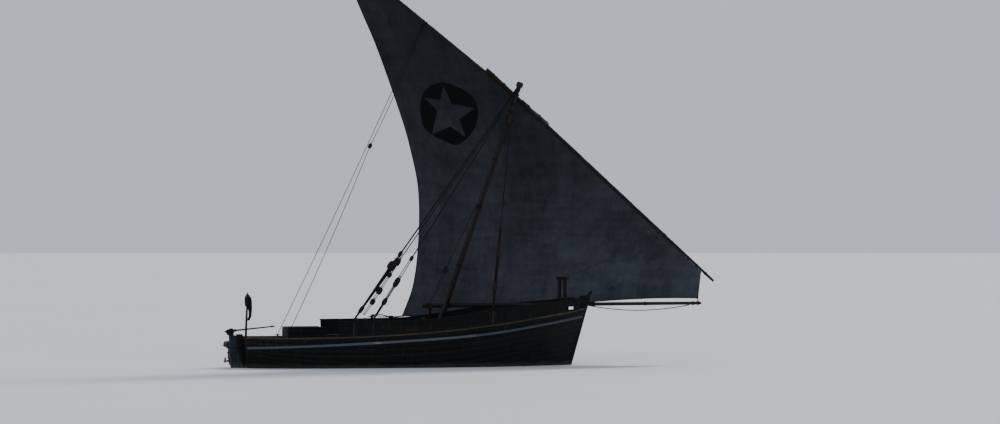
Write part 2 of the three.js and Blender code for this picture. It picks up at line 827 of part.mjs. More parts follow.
// A point of the sail: u from luff to leech, v from foot to head.
function sailPoint(u, v) {
  const foot = footCurve.getPoint(u);
  const head = headPoint(u);
  const luff = tack.clone().lerp(luffTop, v);
  const leech = leechCurve.getPoint(v);
  const point = foot.multiplyScalar(1 - v).addScaledVector(head, v);
  point.addScaledVector(luff, 1 - u).addScaledVector(leech, u);
  point.addScaledVector(tack, -(1 - u) * (1 - v)).addScaledVector(clew, -u * (1 - v));
  point.addScaledVector(luffTop, -(1 - u) * v).addScaledVector(peak, -u * v);
  point.y += bellyDepth * Math.sin(Math.PI * u ** 0.85) * Math.sin(Math.PI * v ** 0.9) ** 0.9;
  return point;
}
const sailAcross = 18;
const sailUp = 10;
const sailRings = [];
for (let i = 0; i <= sailAcross; i++) {
  const u = i / sailAcross;
  const near = [];
  const far = [];
  for (let j = 0; j <= sailUp; j++) {
    const point = sailPoint(u, j / sailUp);
    near.push(at(point.x, point.y - sailThickness / 2, point.z));
    far.push(at(point.x, point.y + sailThickness / 2, point.z));
  }
  sailRings.push([...near, ...far.reverse()]);
}
const sail = solid(loft(sailRings, ladderTriangles, true))
  .subtract(sparBody(spars.lower, seat))
  .subtract(upperSpar)
  .subtract(sparBody(spars.upper, seat));
piece('sail', sail, sailCloth);

// Windward stays: each has a pendant from the masthead and a tackle down to the wash strake

// side is the direction from the mast's middle to the rope, on the mast's surface
const stays = [
  { name: 'aft_stay', hounds: 12620, side: [-1, 0], blockZed: 4780, foot: [-2860, -1990], parts: 3 },
  { name: 'middle_stay', hounds: 12630, side: [-0.53, -0.91], blockZed: 4325, foot: [-2100, -2040], parts: 2 },
  { name: 'fore_shroud', hounds: 11740, side: [0, -1], blockZed: 4350, foot: [2740, -1960], parts: 2 },
];
const houndsProud = 8; // how far a stay's top lies off the face of the mast
const pendantRadius = 16;
const fallRadius = 9;
for (const stay of stays) {
  const footZed = strakeTop(stay.foot[0]) + 6;
  const eye = at(stay.foot[0], stay.foot[1], footZed + 60);
  const aside = at(stay.side[0], stay.side[1], 0);
  const hounds = onMast(stay.hounds).addScaledVector(aside, mastRadiusAt(stay.hounds) + houndsProud);
  const block = eye.clone().lerp(hounds, (stay.blockZed - eye.z) / (hounds.z - eye.z));
  const lower = eye.clone().lerp(block, 0.2);
  const pendantEnd = block.clone().lerp(hounds, 0.02);
  const pendant = bar(hounds, pendantEnd, pendantRadius, pendantRadius, 8).subtract(mastTool(seat));
  const blockEnd = block.clone().lerp(hounds, 0.02 - seat / block.distanceTo(hounds));
  const falls = [];
  for (let i = 0; i < stay.parts; i++) {
    const shift = at((i - (stay.parts - 1) / 2) * 46, 0, 0);
    falls.push(bar(block.clone().add(shift), lower.clone().add(shift), fallRadius, fallRadius, 6));
  }
  const blockBody = (from, to) => bar(from, to, 62, 50, 8);
  const tackle = joined(
    ...falls,
    bar(blockEnd, block, 30, 62, 8),
    blockBody(block, block.clone().lerp(lower, 0.06)),
    blockBody(lower.clone().lerp(block, 0.08), lower.clone().lerp(eye, 0.25)),
    bar(lower, eye, 14, 14, 8),
    box([eye.x - 45, eye.y - 22, footZed + 5 + seat], [eye.x + 45, eye.y + 30, footZed + 80])
  );
  piece(`${stay.name}_pendant`, pendant, rope);
  piece(`${stay.name}_tackle`, tackle, rope);
}

// Stern staff with its furled flag

const staffX = -6745;
const staffRake = 85; // how far the top of the staff lies ahead of its foot
const staffY = 660;
const staffFoot = sternDeckZ + deckBoard + seat + 2; // its foot is square to its rake
const staffTop = 2965;
const staffBody = (gap) =>
  bar(at(staffX, staffY, staffFoot), at(staffX + staffRake, staffY, staffTop), 42 + gap, 24 + gap, 10);
piece('stern_staff', staffBody(0), sparWood);
const flag = box([staffX - 35, staffY - 70, 1850], [staffX + 245, staffY + 70, 2850]).subtract(
  staffBody(seat)
);
piece('stern_flag', flag, flagCloth);

// Rudder on its raked axis, with its head and tiller

const axisOffset = 70; // how far the rudder's axis lies aft of the sternpost
const rudderAxisX = (z) => postAftFace(z) - axisOffset;
const bladeHalf = 42;
const rudderOutline = [
  [rudderAxisX(-1280) + 30, -1280],
  [rudderAxisX(-1280) - 620, -1240],
  [-7470, -500],
  [-7440, 30],
  [-7485, 570],
  [-7515, 1290],
  [rudderAxisX(1290) + 30, 1290],
];
const pinZs = [-900, 700];
const pinRadius = 17;
const axisPoint = (z) => at(rudderAxisX(z), 0, z);
const eyeHeight = 70;
const rudderSlots = joined(
  ...pinZs.map((z) =>
    box([rudderAxisX(z) - 55, -100, z - eyeHeight], [rudderAxisX(z) + 90, 100, z + eyeHeight])
  )
);
const pins = pinZs.map((z) =>
  bar(axisPoint(z - eyeHeight - 20), axisPoint(z + eyeHeight + 20), pinRadius, pinRadius, 12)
);
const blade = joined(sidePlate(rudderOutline, -bladeHalf, bladeHalf).subtract(rudderSlots), ...pins);
piece('rudder_blade', blade, rudderPaint);
const head = sidePlate(
  [
    [-7650, 1290 + seat],
    [-7330, 1290 + seat],
    [-7345, 1570],
    [-7640, 1560],
  ],
  -75,
  75
);
const tillerFrom = at(-7690, 0, 1432);
const tillerTo = at(-5650, 0, 1640);
const tiller = bar(tillerFrom, tillerTo, 36, 24, 10);
piece('rudder_head', head.subtract(bar(tillerFrom, tillerTo, 36 + seat, 24 + seat, 10)), tarredWood);
piece('tiller', tiller, sparWood);
// Everything forward of the sternpost's after face.
const sternpostSpace = sidePlate(
  [
    [postAftFace(-tall) - seat, -tall],
    [0, -tall],
    [0, tall],
    [postAftFace(tall) - seat, tall],
  ],
  -200,
  200
);
for (const [i, z] of pinZs.entries()) {
  const eyeBody = bar(axisPoint(z - 35), axisPoint(z + 35), 42, 42, 12).add(
    box([rudderAxisX(z), -25, z - 30], [postAftFace(z) + 30, 25, z + 30])
  );
  const gudgeon = eyeBody
    .subtract(bar(axisPoint(z - 200), axisPoint(z + 200), pinRadius + 0.95, pinRadius + 0.95, 12))
    .subtract(sternpostSpace);
  piece(i === 0 ? 'lower_gudgeon' : 'upper_gudgeon', gudgeon, iron);
}

// Outboard motor on the port side of the transom

const motorY = 640;
const tiltAxis = { x: -7105, z: 730 };
const clampLow = 390;
const clampHigh = 810;
const cheekHalf = 95;
const cheek = 16;
const clampOutline = [
  [transomX(clampHigh) - seat, clampHigh],
  [transomX(clampLow) - seat, clampLow],
  [transomX(clampLow) - 60, clampLow],
  [tiltAxis.x - 60, tiltAxis.z - 60],
  [tiltAxis.x - 60, tiltAxis.z + 60],
  [transomX(clampHigh) - 80, clampHigh],
];
const bracket = joined(
  sidePlate(clampOutline, motorY - cheekHalf, motorY - cheekHalf + cheek),
  sidePlate(clampOutline, motorY + cheekHalf - cheek, motorY + cheekHalf),
  sidePlate(
    [
      [transomX(clampHigh) - seat, clampHigh],
      [transomX(clampLow) - seat, clampLow],
      [transomX(clampLow) - 25, clampLow],
      [transomX(clampHigh) - 25, clampHigh],
    ],
    motorY - cheekHalf,
    motorY + cheekHalf
  )
);
piece('motor_bracket', bracket, iron);
const swivelHalf = cheekHalf - cheek - 0.6;
const steerX = -7255;
const legTop = 805;
const lowerArm = { from: 390, to: 460 }; // the leg's arms, below and above the swivel
const upperArm = { from: 770, to: legTop };
const onTilt = (side) => at(tiltAxis.x, motorY + side, tiltAxis.z);
const swivel = joined(
  bar(onTilt(-swivelHalf), onTilt(swivelHalf), 24, 24, 12),
  box([steerX, motorY - 40, tiltAxis.z - 30], [tiltAxis.x, motorY + 40, tiltAxis.z + 20]),
  bar(at(steerX, motorY, lowerArm.to + 10), at(steerX, motorY, upperArm.from - 10), 42, 42, 14)
).subtract(bar(at(steerX, motorY, 0), at(steerX, motorY, 2000), 20.9, 20.9, 14));
piece('motor_swivel', swivel, iron);
const propX = -7560;
const propZ = 250;
const shaftRadius = 10;
const leg = joined(
  bar(at(steerX, motorY, lowerArm.to - 5), at(steerX, motorY, upperArm.from + 5), 20, 20, 14),
  box([steerX - 60, motorY - 45, lowerArm.from], [steerX + 45, motorY + 45, lowerArm.to]),
  box([steerX - 60, motorY - 45, upperArm.from], [steerX + 45, motorY + 45, upperArm.to]),
  sidePlate(
    [
      [steerX - 200, legTop],
      [steerX - 65, legTop],
      [steerX - 65, lowerArm.from],
      [steerX + 30, lowerArm.from],
      [steerX - 40, 130],
      [steerX - 90, 60],
      [steerX - 150, 130],
      [steerX - 190, 330],
      [steerX - 215, 430],
    ],
    motorY - 34,
    motorY + 34
  ),
  bar(at(steerX + 10, motorY, propZ), at(propX + 72, motorY, propZ), 30, 42, 12),
  bar(at(propX + 100, motorY, propZ), at(propX - 40, motorY, propZ), shaftRadius, shaftRadius, 12),
  box([steerX - 260, motorY - 70, 405], [steerX + 20, motorY + 70, 420])
);
piece('motor_leg', leg, motorPaint);
const cowlBase = legTop + seat;
const cowlLayers = [
  // share of the full outline, height over the base
  [0.86, 0],
  [1, 32],
  [1, 130],
  [0.93, 185],
  [0.74, 222],
  [0.4, 240],
];
const cowlRings = cowlLayers.map(([share, height]) => {
  const ring = [];
  for (let i = 0; i < 16; i++) {
    const angle = (i / 16) * 2 * Math.PI;
    const x = steerX - 145 + 240 * share * Math.cos(angle);
    ring.push(at(x, motorY + 120 * share * Math.sin(angle), cowlBase + height));
  }
  return ring;
});
piece('motor_cowl', solid(loft(cowlRings)), motorPaint);
const propHub = bar(at(propX + 60, motorY, propZ), at(propX - 70, motorY, propZ), 34, 24, 12);
const propBlades = [0, 1, 2].map((i) => {
  const bladeShape = new THREE.Shape();
  bladeShape.moveTo(-20, 10);
  bladeShape.bezierCurveTo(-75, 60, -55, 150, 10, 155);
  bladeShape.bezierCurveTo(60, 140, 60, 60, 20, 10);
  const flat = { depth: 8, bevelEnabled: false, curveSegments: 6 };
  const bladeGeometry = new THREE.ExtrudeGeometry(bladeShape, flat);
  bladeGeometry.translate(0, 0, -4);
  bladeGeometry.rotateY(0.45);
  bladeGeometry.rotateZ((i * 2 * Math.PI) / 3);
  bladeGeometry.rotateY(Math.PI / 2);
  bladeGeometry.translate(propX, motorY, propZ);
  return solid(bladeGeometry);
});
const shaftBore = bar(at(propX + 100, motorY, propZ), at(propX - 45, motorY, propZ), 10.8, 10.8, 12);
piece('motor_propeller', joined(propHub, ...propBlades).subtract(shaftBore), motorPaint);

export default group;
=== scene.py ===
# %% [markdown]
# # A wooden cargo dhow under one sail
# The boat floats at its waterline on a pale floor that stands for the water. The frame holds
# every solid piece at its true size. Each lesson below says what a piece is on the real boat,
# and why it's made the way it is. Lengths are in metres: +X is the bow, +Y port and +Z up.

# %% Load the frame
import json
import math

import bpy
import numpy as np
from mathutils import Vector, noise
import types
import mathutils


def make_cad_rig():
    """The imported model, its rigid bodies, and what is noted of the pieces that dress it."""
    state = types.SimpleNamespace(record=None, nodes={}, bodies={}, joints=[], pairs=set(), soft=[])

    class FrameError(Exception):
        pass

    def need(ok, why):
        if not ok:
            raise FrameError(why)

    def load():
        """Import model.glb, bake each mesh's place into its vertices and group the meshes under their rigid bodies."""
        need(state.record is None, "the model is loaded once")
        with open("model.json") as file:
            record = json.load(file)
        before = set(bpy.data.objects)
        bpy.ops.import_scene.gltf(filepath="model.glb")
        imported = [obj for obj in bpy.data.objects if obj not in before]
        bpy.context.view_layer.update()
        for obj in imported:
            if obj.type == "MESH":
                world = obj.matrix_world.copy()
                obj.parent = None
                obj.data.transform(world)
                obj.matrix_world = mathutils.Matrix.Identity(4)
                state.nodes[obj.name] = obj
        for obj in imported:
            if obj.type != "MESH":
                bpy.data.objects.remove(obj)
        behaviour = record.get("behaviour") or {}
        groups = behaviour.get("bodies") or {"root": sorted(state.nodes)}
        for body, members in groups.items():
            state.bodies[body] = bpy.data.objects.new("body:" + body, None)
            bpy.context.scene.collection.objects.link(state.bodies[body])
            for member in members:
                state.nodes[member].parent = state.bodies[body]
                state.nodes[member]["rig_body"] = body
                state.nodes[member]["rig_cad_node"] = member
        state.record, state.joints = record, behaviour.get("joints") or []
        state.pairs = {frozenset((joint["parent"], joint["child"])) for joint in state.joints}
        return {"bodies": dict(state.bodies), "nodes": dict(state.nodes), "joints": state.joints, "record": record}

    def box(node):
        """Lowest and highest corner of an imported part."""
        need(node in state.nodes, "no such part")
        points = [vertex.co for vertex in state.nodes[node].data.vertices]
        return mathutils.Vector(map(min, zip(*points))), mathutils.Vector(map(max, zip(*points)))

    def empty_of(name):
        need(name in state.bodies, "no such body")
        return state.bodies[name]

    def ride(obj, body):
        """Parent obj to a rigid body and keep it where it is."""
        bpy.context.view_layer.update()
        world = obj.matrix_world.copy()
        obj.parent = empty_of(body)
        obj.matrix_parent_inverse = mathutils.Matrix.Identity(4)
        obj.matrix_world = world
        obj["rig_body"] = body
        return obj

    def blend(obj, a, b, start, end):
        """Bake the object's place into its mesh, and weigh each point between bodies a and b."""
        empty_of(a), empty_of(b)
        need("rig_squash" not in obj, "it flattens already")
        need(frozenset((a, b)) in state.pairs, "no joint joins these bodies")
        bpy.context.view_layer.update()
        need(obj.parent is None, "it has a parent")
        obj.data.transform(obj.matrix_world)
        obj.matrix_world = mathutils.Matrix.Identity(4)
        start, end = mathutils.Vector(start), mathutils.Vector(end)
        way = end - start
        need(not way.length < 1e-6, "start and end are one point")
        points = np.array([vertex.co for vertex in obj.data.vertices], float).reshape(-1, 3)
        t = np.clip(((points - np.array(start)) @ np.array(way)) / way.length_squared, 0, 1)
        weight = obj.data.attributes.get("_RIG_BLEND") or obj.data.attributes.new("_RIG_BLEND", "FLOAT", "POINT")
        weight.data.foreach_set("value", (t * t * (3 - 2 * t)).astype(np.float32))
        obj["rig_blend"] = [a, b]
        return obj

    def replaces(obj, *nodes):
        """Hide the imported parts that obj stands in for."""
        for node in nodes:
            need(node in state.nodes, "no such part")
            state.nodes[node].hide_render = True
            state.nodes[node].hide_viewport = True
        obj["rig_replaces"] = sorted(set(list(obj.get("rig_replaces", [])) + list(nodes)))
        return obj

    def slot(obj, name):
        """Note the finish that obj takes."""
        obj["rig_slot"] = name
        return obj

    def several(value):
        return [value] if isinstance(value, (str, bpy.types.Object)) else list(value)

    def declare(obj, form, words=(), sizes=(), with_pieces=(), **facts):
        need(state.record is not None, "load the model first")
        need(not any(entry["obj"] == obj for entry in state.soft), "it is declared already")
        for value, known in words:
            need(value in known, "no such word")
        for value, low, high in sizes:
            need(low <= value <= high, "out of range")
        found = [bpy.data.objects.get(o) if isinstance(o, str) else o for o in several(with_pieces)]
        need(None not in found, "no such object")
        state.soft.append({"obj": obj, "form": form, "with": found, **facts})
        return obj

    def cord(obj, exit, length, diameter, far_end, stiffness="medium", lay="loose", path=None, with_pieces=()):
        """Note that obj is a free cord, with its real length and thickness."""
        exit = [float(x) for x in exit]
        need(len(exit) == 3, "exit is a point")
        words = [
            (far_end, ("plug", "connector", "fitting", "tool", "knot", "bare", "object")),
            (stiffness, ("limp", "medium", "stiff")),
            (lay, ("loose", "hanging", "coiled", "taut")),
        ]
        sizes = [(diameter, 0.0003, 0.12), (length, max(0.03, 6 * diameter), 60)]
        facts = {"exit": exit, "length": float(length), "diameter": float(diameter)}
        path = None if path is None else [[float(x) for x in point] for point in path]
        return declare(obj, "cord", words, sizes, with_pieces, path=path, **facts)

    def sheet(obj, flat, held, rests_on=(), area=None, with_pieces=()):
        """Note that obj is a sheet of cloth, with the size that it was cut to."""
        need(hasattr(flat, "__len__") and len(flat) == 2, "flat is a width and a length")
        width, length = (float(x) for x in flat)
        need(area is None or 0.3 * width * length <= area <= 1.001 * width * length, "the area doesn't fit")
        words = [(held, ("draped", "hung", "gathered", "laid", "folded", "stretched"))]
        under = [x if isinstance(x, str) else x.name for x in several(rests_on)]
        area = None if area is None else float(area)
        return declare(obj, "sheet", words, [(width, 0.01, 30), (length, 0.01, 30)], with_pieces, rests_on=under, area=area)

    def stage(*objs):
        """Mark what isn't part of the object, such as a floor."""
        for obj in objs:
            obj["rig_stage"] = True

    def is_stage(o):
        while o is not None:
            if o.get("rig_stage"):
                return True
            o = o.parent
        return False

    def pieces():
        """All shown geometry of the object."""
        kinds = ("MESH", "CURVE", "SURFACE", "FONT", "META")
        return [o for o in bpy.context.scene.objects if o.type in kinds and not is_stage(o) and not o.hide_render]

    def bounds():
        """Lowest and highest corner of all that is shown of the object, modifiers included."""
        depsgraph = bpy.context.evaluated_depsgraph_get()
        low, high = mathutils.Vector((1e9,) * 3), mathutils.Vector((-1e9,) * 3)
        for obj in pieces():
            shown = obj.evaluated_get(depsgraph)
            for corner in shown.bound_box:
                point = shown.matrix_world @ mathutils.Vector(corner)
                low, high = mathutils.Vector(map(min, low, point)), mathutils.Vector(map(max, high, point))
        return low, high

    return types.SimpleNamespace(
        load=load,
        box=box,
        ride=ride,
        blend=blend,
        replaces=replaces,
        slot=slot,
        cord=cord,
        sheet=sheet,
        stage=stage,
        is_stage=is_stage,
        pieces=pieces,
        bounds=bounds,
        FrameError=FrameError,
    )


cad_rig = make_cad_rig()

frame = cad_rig.load()
cad_box = [[round(number, 5) for number in corner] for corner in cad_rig.bounds()]
print("the frame's box", cad_box)

# %% [markdown]
# ## Camera
# A long lens from far off flattens the boat, as a telephoto picture from a beach does. The
# focal length comes from how many pixels a metre takes up at the boat and how far away the
# camera stands.

# %% Camera
PICTURE_WIDTH = 1000
PIXELS_PER_METRE = 25
CAMERA_DISTANCE = 135
SENSOR_WIDTH = 36
camera_place = Vector((-28.219, -132.103, 5.202))
camera_target = Vector((3.296, -0.837, 6.168))

bpy.ops.object.camera_add(location=camera_place)
camera = bpy.context.object
camera.rotation_euler = (camera_target - camera_place).to_track_quat("-Z", "Y").to_euler()
camera.data.sensor_width = SENSOR_WIDTH
camera.data.lens = SENSOR_WIDTH * PIXELS_PER_METRE * CAMERA_DISTANCE / PICTURE_WIDTH
camera.data.clip_end = 3000
bpy.context.scene.camera = camera
print("lens", round(camera.data.lens, 1), "mm")

# %% [markdown]
# ## Helpers
# Everything below is made the same few ways, so each way is written once. A grid whose corners
# are moved to worked-out places gives smooth lofted skins. A ring of points swept along a path
# gives spars, ropes and rails. Sawn timbers start from the frame's own solids, get their loose
# triangles merged, and then a small bevel along each edge, because no real edge is sharp.


# %% Picking and modifiers
def deselect():
    bpy.ops.object.select_all(action="DESELECT")


def pick(*pieces):
    """Selects just these pieces and makes the first one active."""
    deselect()
    for piece in pieces:
        piece.select_set(True)
    bpy.context.view_layer.objects.active = pieces[0]


def modify(piece, kind, **settings):
    """Adds a modifier and applies it at once."""
    pick(piece)
    modifier = piece.modifiers.new(kind.title(), kind)
    for key, value in settings.items():
        setattr(modifier, key, value)
    bpy.ops.object.modifier_apply(modifier=modifier.name)


def edit(piece, *steps):
    """Runs edit-mode operators on the whole of a piece: each step is a function."""
    pick(piece)
    bpy.ops.object.mode_set(mode="EDIT")
    bpy.ops.mesh.select_all(action="SELECT")
    for step in steps:
        step()
    bpy.ops.object.mode_set(mode="OBJECT")


def merge_doubles():
    bpy.ops.mesh.remove_doubles(threshold=0.00002)


def face_outwards():
    bpy.ops.mesh.normals_make_consistent(inside=False)


def fill_ends():
    bpy.ops.mesh.fill_holes(sides=0)


def smooth(piece, degrees=35):
    pick(piece)
    bpy.ops.object.shade_smooth_by_angle(angle=math.radians(degrees))


# %% Grids and swept skins
def grid(name, columns, rows, place, chart):
    """A grid primitive with corner (i, j) moved to place(i, j) and its UV at chart(i, j)."""
    deselect()
    bpy.ops.mesh.primitive_grid_add(x_subdivisions=columns, y_subdivisions=rows, size=1)
    piece = bpy.context.object
    piece.name = piece.data.name = name
    corners = [
        (round((vertex.co.x + 0.5) * columns), round((vertex.co.y + 0.5) * rows))
        for vertex in piece.data.vertices
    ]
    for vertex, corner in zip(piece.data.vertices, corners):
        vertex.co = place(*corner)
    chart_layer = piece.data.uv_layers.active.data
    for loop in piece.data.loops:
        chart_layer[loop.index].uv = chart(*corners[loop.vertex_index])
    return piece


def skin(name, rings, degrees=35):
    """A closed skin over rings of points. Its UV runs round a ring, then along, in metres."""
    rings = [[Vector(point) for point in ring] for ring in rings]
    count = len(rings[0])
    girth = np.cumsum([0] + [(a - b).length for a, b in zip(rings[0], rings[0][1:] + rings[0][:1])])
    centres = [sum(ring, Vector()) / count for ring in rings]
    run = np.cumsum([0] + [(a - b).length for a, b in zip(centres, centres[1:])])
    piece = grid(
        name,
        count,
        len(rings) - 1,
        lambda i, j: rings[j][i % count],
        lambda i, j: (girth[i], run[j]),
    )
    edit(piece, merge_doubles, fill_ends, face_outwards)
    smooth(piece, degrees)
    return piece


def turns_round(count):
    """Angles evenly spaced round a full turn."""
    return [2 * math.pi * k / count for k in range(count)]


def tube(name, path, radius, sides=10):
    """A round bar along a path. Radius is one number, or one for each point of the path."""
    path = [Vector(point) for point in path]
    radii = [radius] * len(path) if np.isscalar(radius) else list(radius)
    ahead = (path[1] - path[0]).normalized()
    side = ahead.orthogonal().normalized()
    rings = []
    for i, point in enumerate(path):
        ahead = (path[min(i + 1, len(path) - 1)] - path[max(i - 1, 0)]).normalized()
        side = (side - ahead * side.dot(ahead)).normalized()
        third = ahead.cross(side)
        turns = turns_round(sides)
        rings.append([point + radii[i] * (math.cos(t) * side + math.sin(t) * third) for t in turns])
    return skin(name, rings)


def line(start, end, steps):
    """Evenly spaced points from start to end."""
    return [Vector(start).lerp(Vector(end), i / steps) for i in range(steps + 1)]


def curve_at(anchors, shares):
    """Points at shares, each 0 to 1, along a centripetal curve through the anchors."""
    anchors = np.array(anchors, float)
    ends = (2 * anchors[0] - anchors[1], 2 * anchors[-1] - anchors[-2])
    knots = np.vstack([ends[0], anchors, ends[1]])
    found = []
    for share in shares:
        place = min(max(share, 0), 0.999999) * (len(anchors) - 1)
        first = int(place)
        w = place - first
        a, b, c, d = knots[first : first + 4]
        before, here, after = (np.linalg.norm(q - p) ** 0.5 for p, q in ((a, b), (b, c), (c, d)))
        leave = ((b - a) / before - (c - a) / (before + here) + (c - b) / here) * here
        arrive = ((c - b) / here - (d - b) / (here + after) + (d - c) / after) * here
        bend = -3 * b + 3 * c - 2 * leave - arrive
        found.append(b + leave * w + bend * w**2 + (2 * b - 2 * c + leave + arrive) * w**3)
    return np.array(found)


# %% Sawn timbers, and how a piece is finished
def added(name, mesh):
    """A new piece with this mesh."""
    piece = bpy.data.objects.new(name, mesh)
    bpy.context.scene.collection.objects.link(piece)
    return piece


def joined(name, pieces):
    """Several meshes made into one piece."""
    pick(*pieces)
    if len(pieces) > 1:
        bpy.ops.object.join()
    pieces[0].name = pieces[0].data.name = name
    return pieces[0]


def softened(name, solid, edge, groove=None):
    """A merged and bevelled copy of one of the frame's solids."""
    piece = added(name, frame["nodes"][solid].data.copy())
    piece.data.name = name
    piece.data.materials.clear()
    edit(piece, merge_doubles, lambda: bpy.ops.mesh.dissolve_limited(angle_limit=math.radians(2)))
    if groove:
        cut(piece, groove)
    modify(piece, "BEVEL", width=edge, segments=2, limit_method="ANGLE", angle_limit=math.radians(30))
    smooth(piece)
    return piece


def block(name, low, high, edge=0.006):
    """A sawn block from its lowest corner to its highest, with its edges rounded over."""
    low, high = Vector(low), Vector(high)
    deselect()
    bpy.ops.mesh.primitive_cube_add(size=1)
    piece = bpy.context.object
    piece.name = piece.data.name = name
    for vertex in piece.data.vertices:
        share = vertex.co + Vector((0.5, 0.5, 0.5))
        vertex.co = [a + (b - a) * s for a, b, s in zip(low, high, share)]
    if edge:
        modify(piece, "BEVEL", width=edge, segments=2)
        smooth(piece)
    return piece


def cut(piece, boxes):
    """Cuts boxes, each a lowest and a highest corner, out of a piece."""
    cutters = [block("cutter", low, high, edge=0) for low, high in boxes]
    pick(*cutters)
    bpy.ops.object.join()
    cutter = cutters[0]
    modify(piece, "BOOLEAN", operation="DIFFERENCE", solver="EXACT", use_self=True, object=cutter)
    bpy.data.objects.remove(cutter)


def mirrored(piece, name):
    """The starboard twin of a port piece, with its own mesh."""
    twin = added(name, piece.data.copy())
    for vertex in twin.data.vertices:
        vertex.co.y = -vertex.co.y
    edit(twin, bpy.ops.mesh.flip_normals)
    return twin


def settle(piece, body, material, slot, *nodes):
    """Gives a finished piece its material, its body, its slot and the solids it stands for."""
    if material:
        piece.data.materials.clear()
        piece.data.materials.append(material)
    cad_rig.ride(piece, body)
    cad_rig.slot(piece, slot)
    if nodes:
        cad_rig.replaces(piece, *nodes)
    print(piece.name, len(piece.data.polygons), "faces")
    return piece


# %% [markdown]
# ## Finishes shared by many pieces
# Every surface here is old: sawn boards of uneven tone, paint and tar worn down to the wood,
# a stained line where the water laps, rust on iron, dust and sun on cloth. What several
# materials share is one node group, placed in each of them with its own values.


# %% Wires between nodes
class Wire:
    """What leaves a node by one socket. Plain sums on it add Math nodes to its tree."""

    def __init__(self, socket):
        self.socket = socket
        self.tree = socket.id_data

    def sum(self, operation, other=0.0, clamp=False):
        values = {0: self, 1: other}
        return node(self.tree, "Math", values, operation=operation, use_clamp=clamp)[0]

    def __add__(self, other):
        return self.sum("ADD", other)

    def __sub__(self, other):
        return self.sum("SUBTRACT", other)

    def __rsub__(self, other):
        return node(self.tree, "Math", {0: other, 1: self}, operation="SUBTRACT")[0]

    def __mul__(self, other):
        return self.sum("MULTIPLY", other)

    def __abs__(self):
        return self.sum("ABSOLUTE")


def feed(inputs, values):
    """Links or sets a node's inputs, each by its name or its number."""
    for key, value in values.items():
        if isinstance(value, Wire):
            value.tree.links.new(value.socket, inputs[key])
        else:
            inputs[key].default_value = value


def node(tree, kind, inputs=None, **settings):
    """Adds a node and returns its outputs, each by its name and by its number."""
    made = tree.nodes.new("ShaderNode" + kind)
    for key, value in settings.items():
        setattr(made, key, value)
    feed(made.inputs, inputs or {})
    outputs = {}
    for i, socket in enumerate(made.outputs):
        outputs[i] = outputs[socket.name] = Wire(socket)
    return outputs


# %% Node helpers
def mixed(share, first, second, blend="MIX"):
    """Two colours mixed by a share."""
    tree = next(value.tree for value in (share, first, second) if isinstance(value, Wire))
    return node(tree, "Mix", {0: share, 6: first, 7: second}, data_type="RGBA", blend_type=blend)[2]


def toned(colour, tone):
    """A colour made lighter or darker by a number."""
    grey = node(colour.tree, "CombineColor", {0: tone, 1: tone, 2: tone})[0]
    return mixed(1.0, colour, grey, "MULTIPLY")


def speckle(vector, scale, detail=4.0, rough=0.55):
    """Soft noise from 0 to 1."""
    values = {"Vector": vector, "Scale": scale, "Detail": detail, "Roughness": rough}
    return node(vector.tree, "TexNoise", values)["Fac"]


def stretch(value, low, high):
    """Spreads low to high over 0 to 1, and holds the rest at the ends."""
    return node(value.tree, "MapRange", {0: value, 1: low, 2: high})[0]


def scaled(vector, factors):
    """A vector stretched along each axis."""
    return node(vector.tree, "VectorMath", {0: vector, 1: factors}, operation="MULTIPLY")[0]


def bumped(height, distance):
    """A normal that follows a height, given as a share of a distance."""
    values = {"Height": height, "Strength": 0.6, "Distance": distance}
    return node(height.tree, "Bump", values)[0]


def group(name, inputs, outputs):
    """A node group, from the values its inputs start at and the kinds of its outputs."""
    tree = bpy.data.node_groups.new(name, "ShaderNodeTree")
    for label, value in inputs.items():
        kind = {3: "Vector", 4: "Color"}[len(value)] if isinstance(value, tuple) else "Float"
        socket = tree.interface.new_socket(label, in_out="INPUT", socket_type="NodeSocket" + kind)
        socket.default_value = value
    for label, kind in outputs.items():
        tree.interface.new_socket(label, in_out="OUTPUT", socket_type="NodeSocket" + kind)
    came = {socket.name: Wire(socket) for socket in tree.nodes.new("NodeGroupInput").outputs}
    return tree, came, tree.nodes.new("NodeGroupOutput").inputs


def placed(tree, shared, inputs):
    """A shared group placed in a material's tree; returns its outputs."""
    return node(tree, "Group", inputs, node_tree=shared)


# %% Board by board
# Each board was cut from another tree, so each has its own tone, and a dark seam round it.
END_GAP = 0.004
board_tree, came, leave = group(
    "Board by board",
    {"Vector": (0, 0, 0), "Width": 0.2, "Length": 4.0, "Gap": 0.05},
    {"Tone": "Float", "Seam": "Float"},
)
parts = node(board_tree, "SeparateXYZ", {0: came["Vector"]})
rows = parts["Y"].sum("DIVIDE", came["Width"])
row = rows.sum("FLOOR")
shift = node(board_tree, "TexWhiteNoise", {"W": row}, noise_dimensions="1D")["Value"]
places = parts["X"].sum("DIVIDE", came["Length"]) + shift
both = node(board_tree, "CombineXYZ", {"X": row, "Y": places.sum("FLOOR")})[0]
tone = node(board_tree, "TexWhiteNoise", {"Vector": both}, noise_dimensions="2D")["Value"]
across_edge = abs(rows.sum("FRACT") - 0.5)
end_edge = abs(places.sum("FRACT") - 0.5)
side_seam = across_edge.sum("GREATER_THAN", 0.5 - came["Gap"] * 0.5)
end_seam = ((0.5 - end_edge) * came["Length"]).sum("LESS_THAN", END_GAP)
feed(leave, {"Tone": tone, "Seam": side_seam.sum("MAXIMUM", end_seam)})

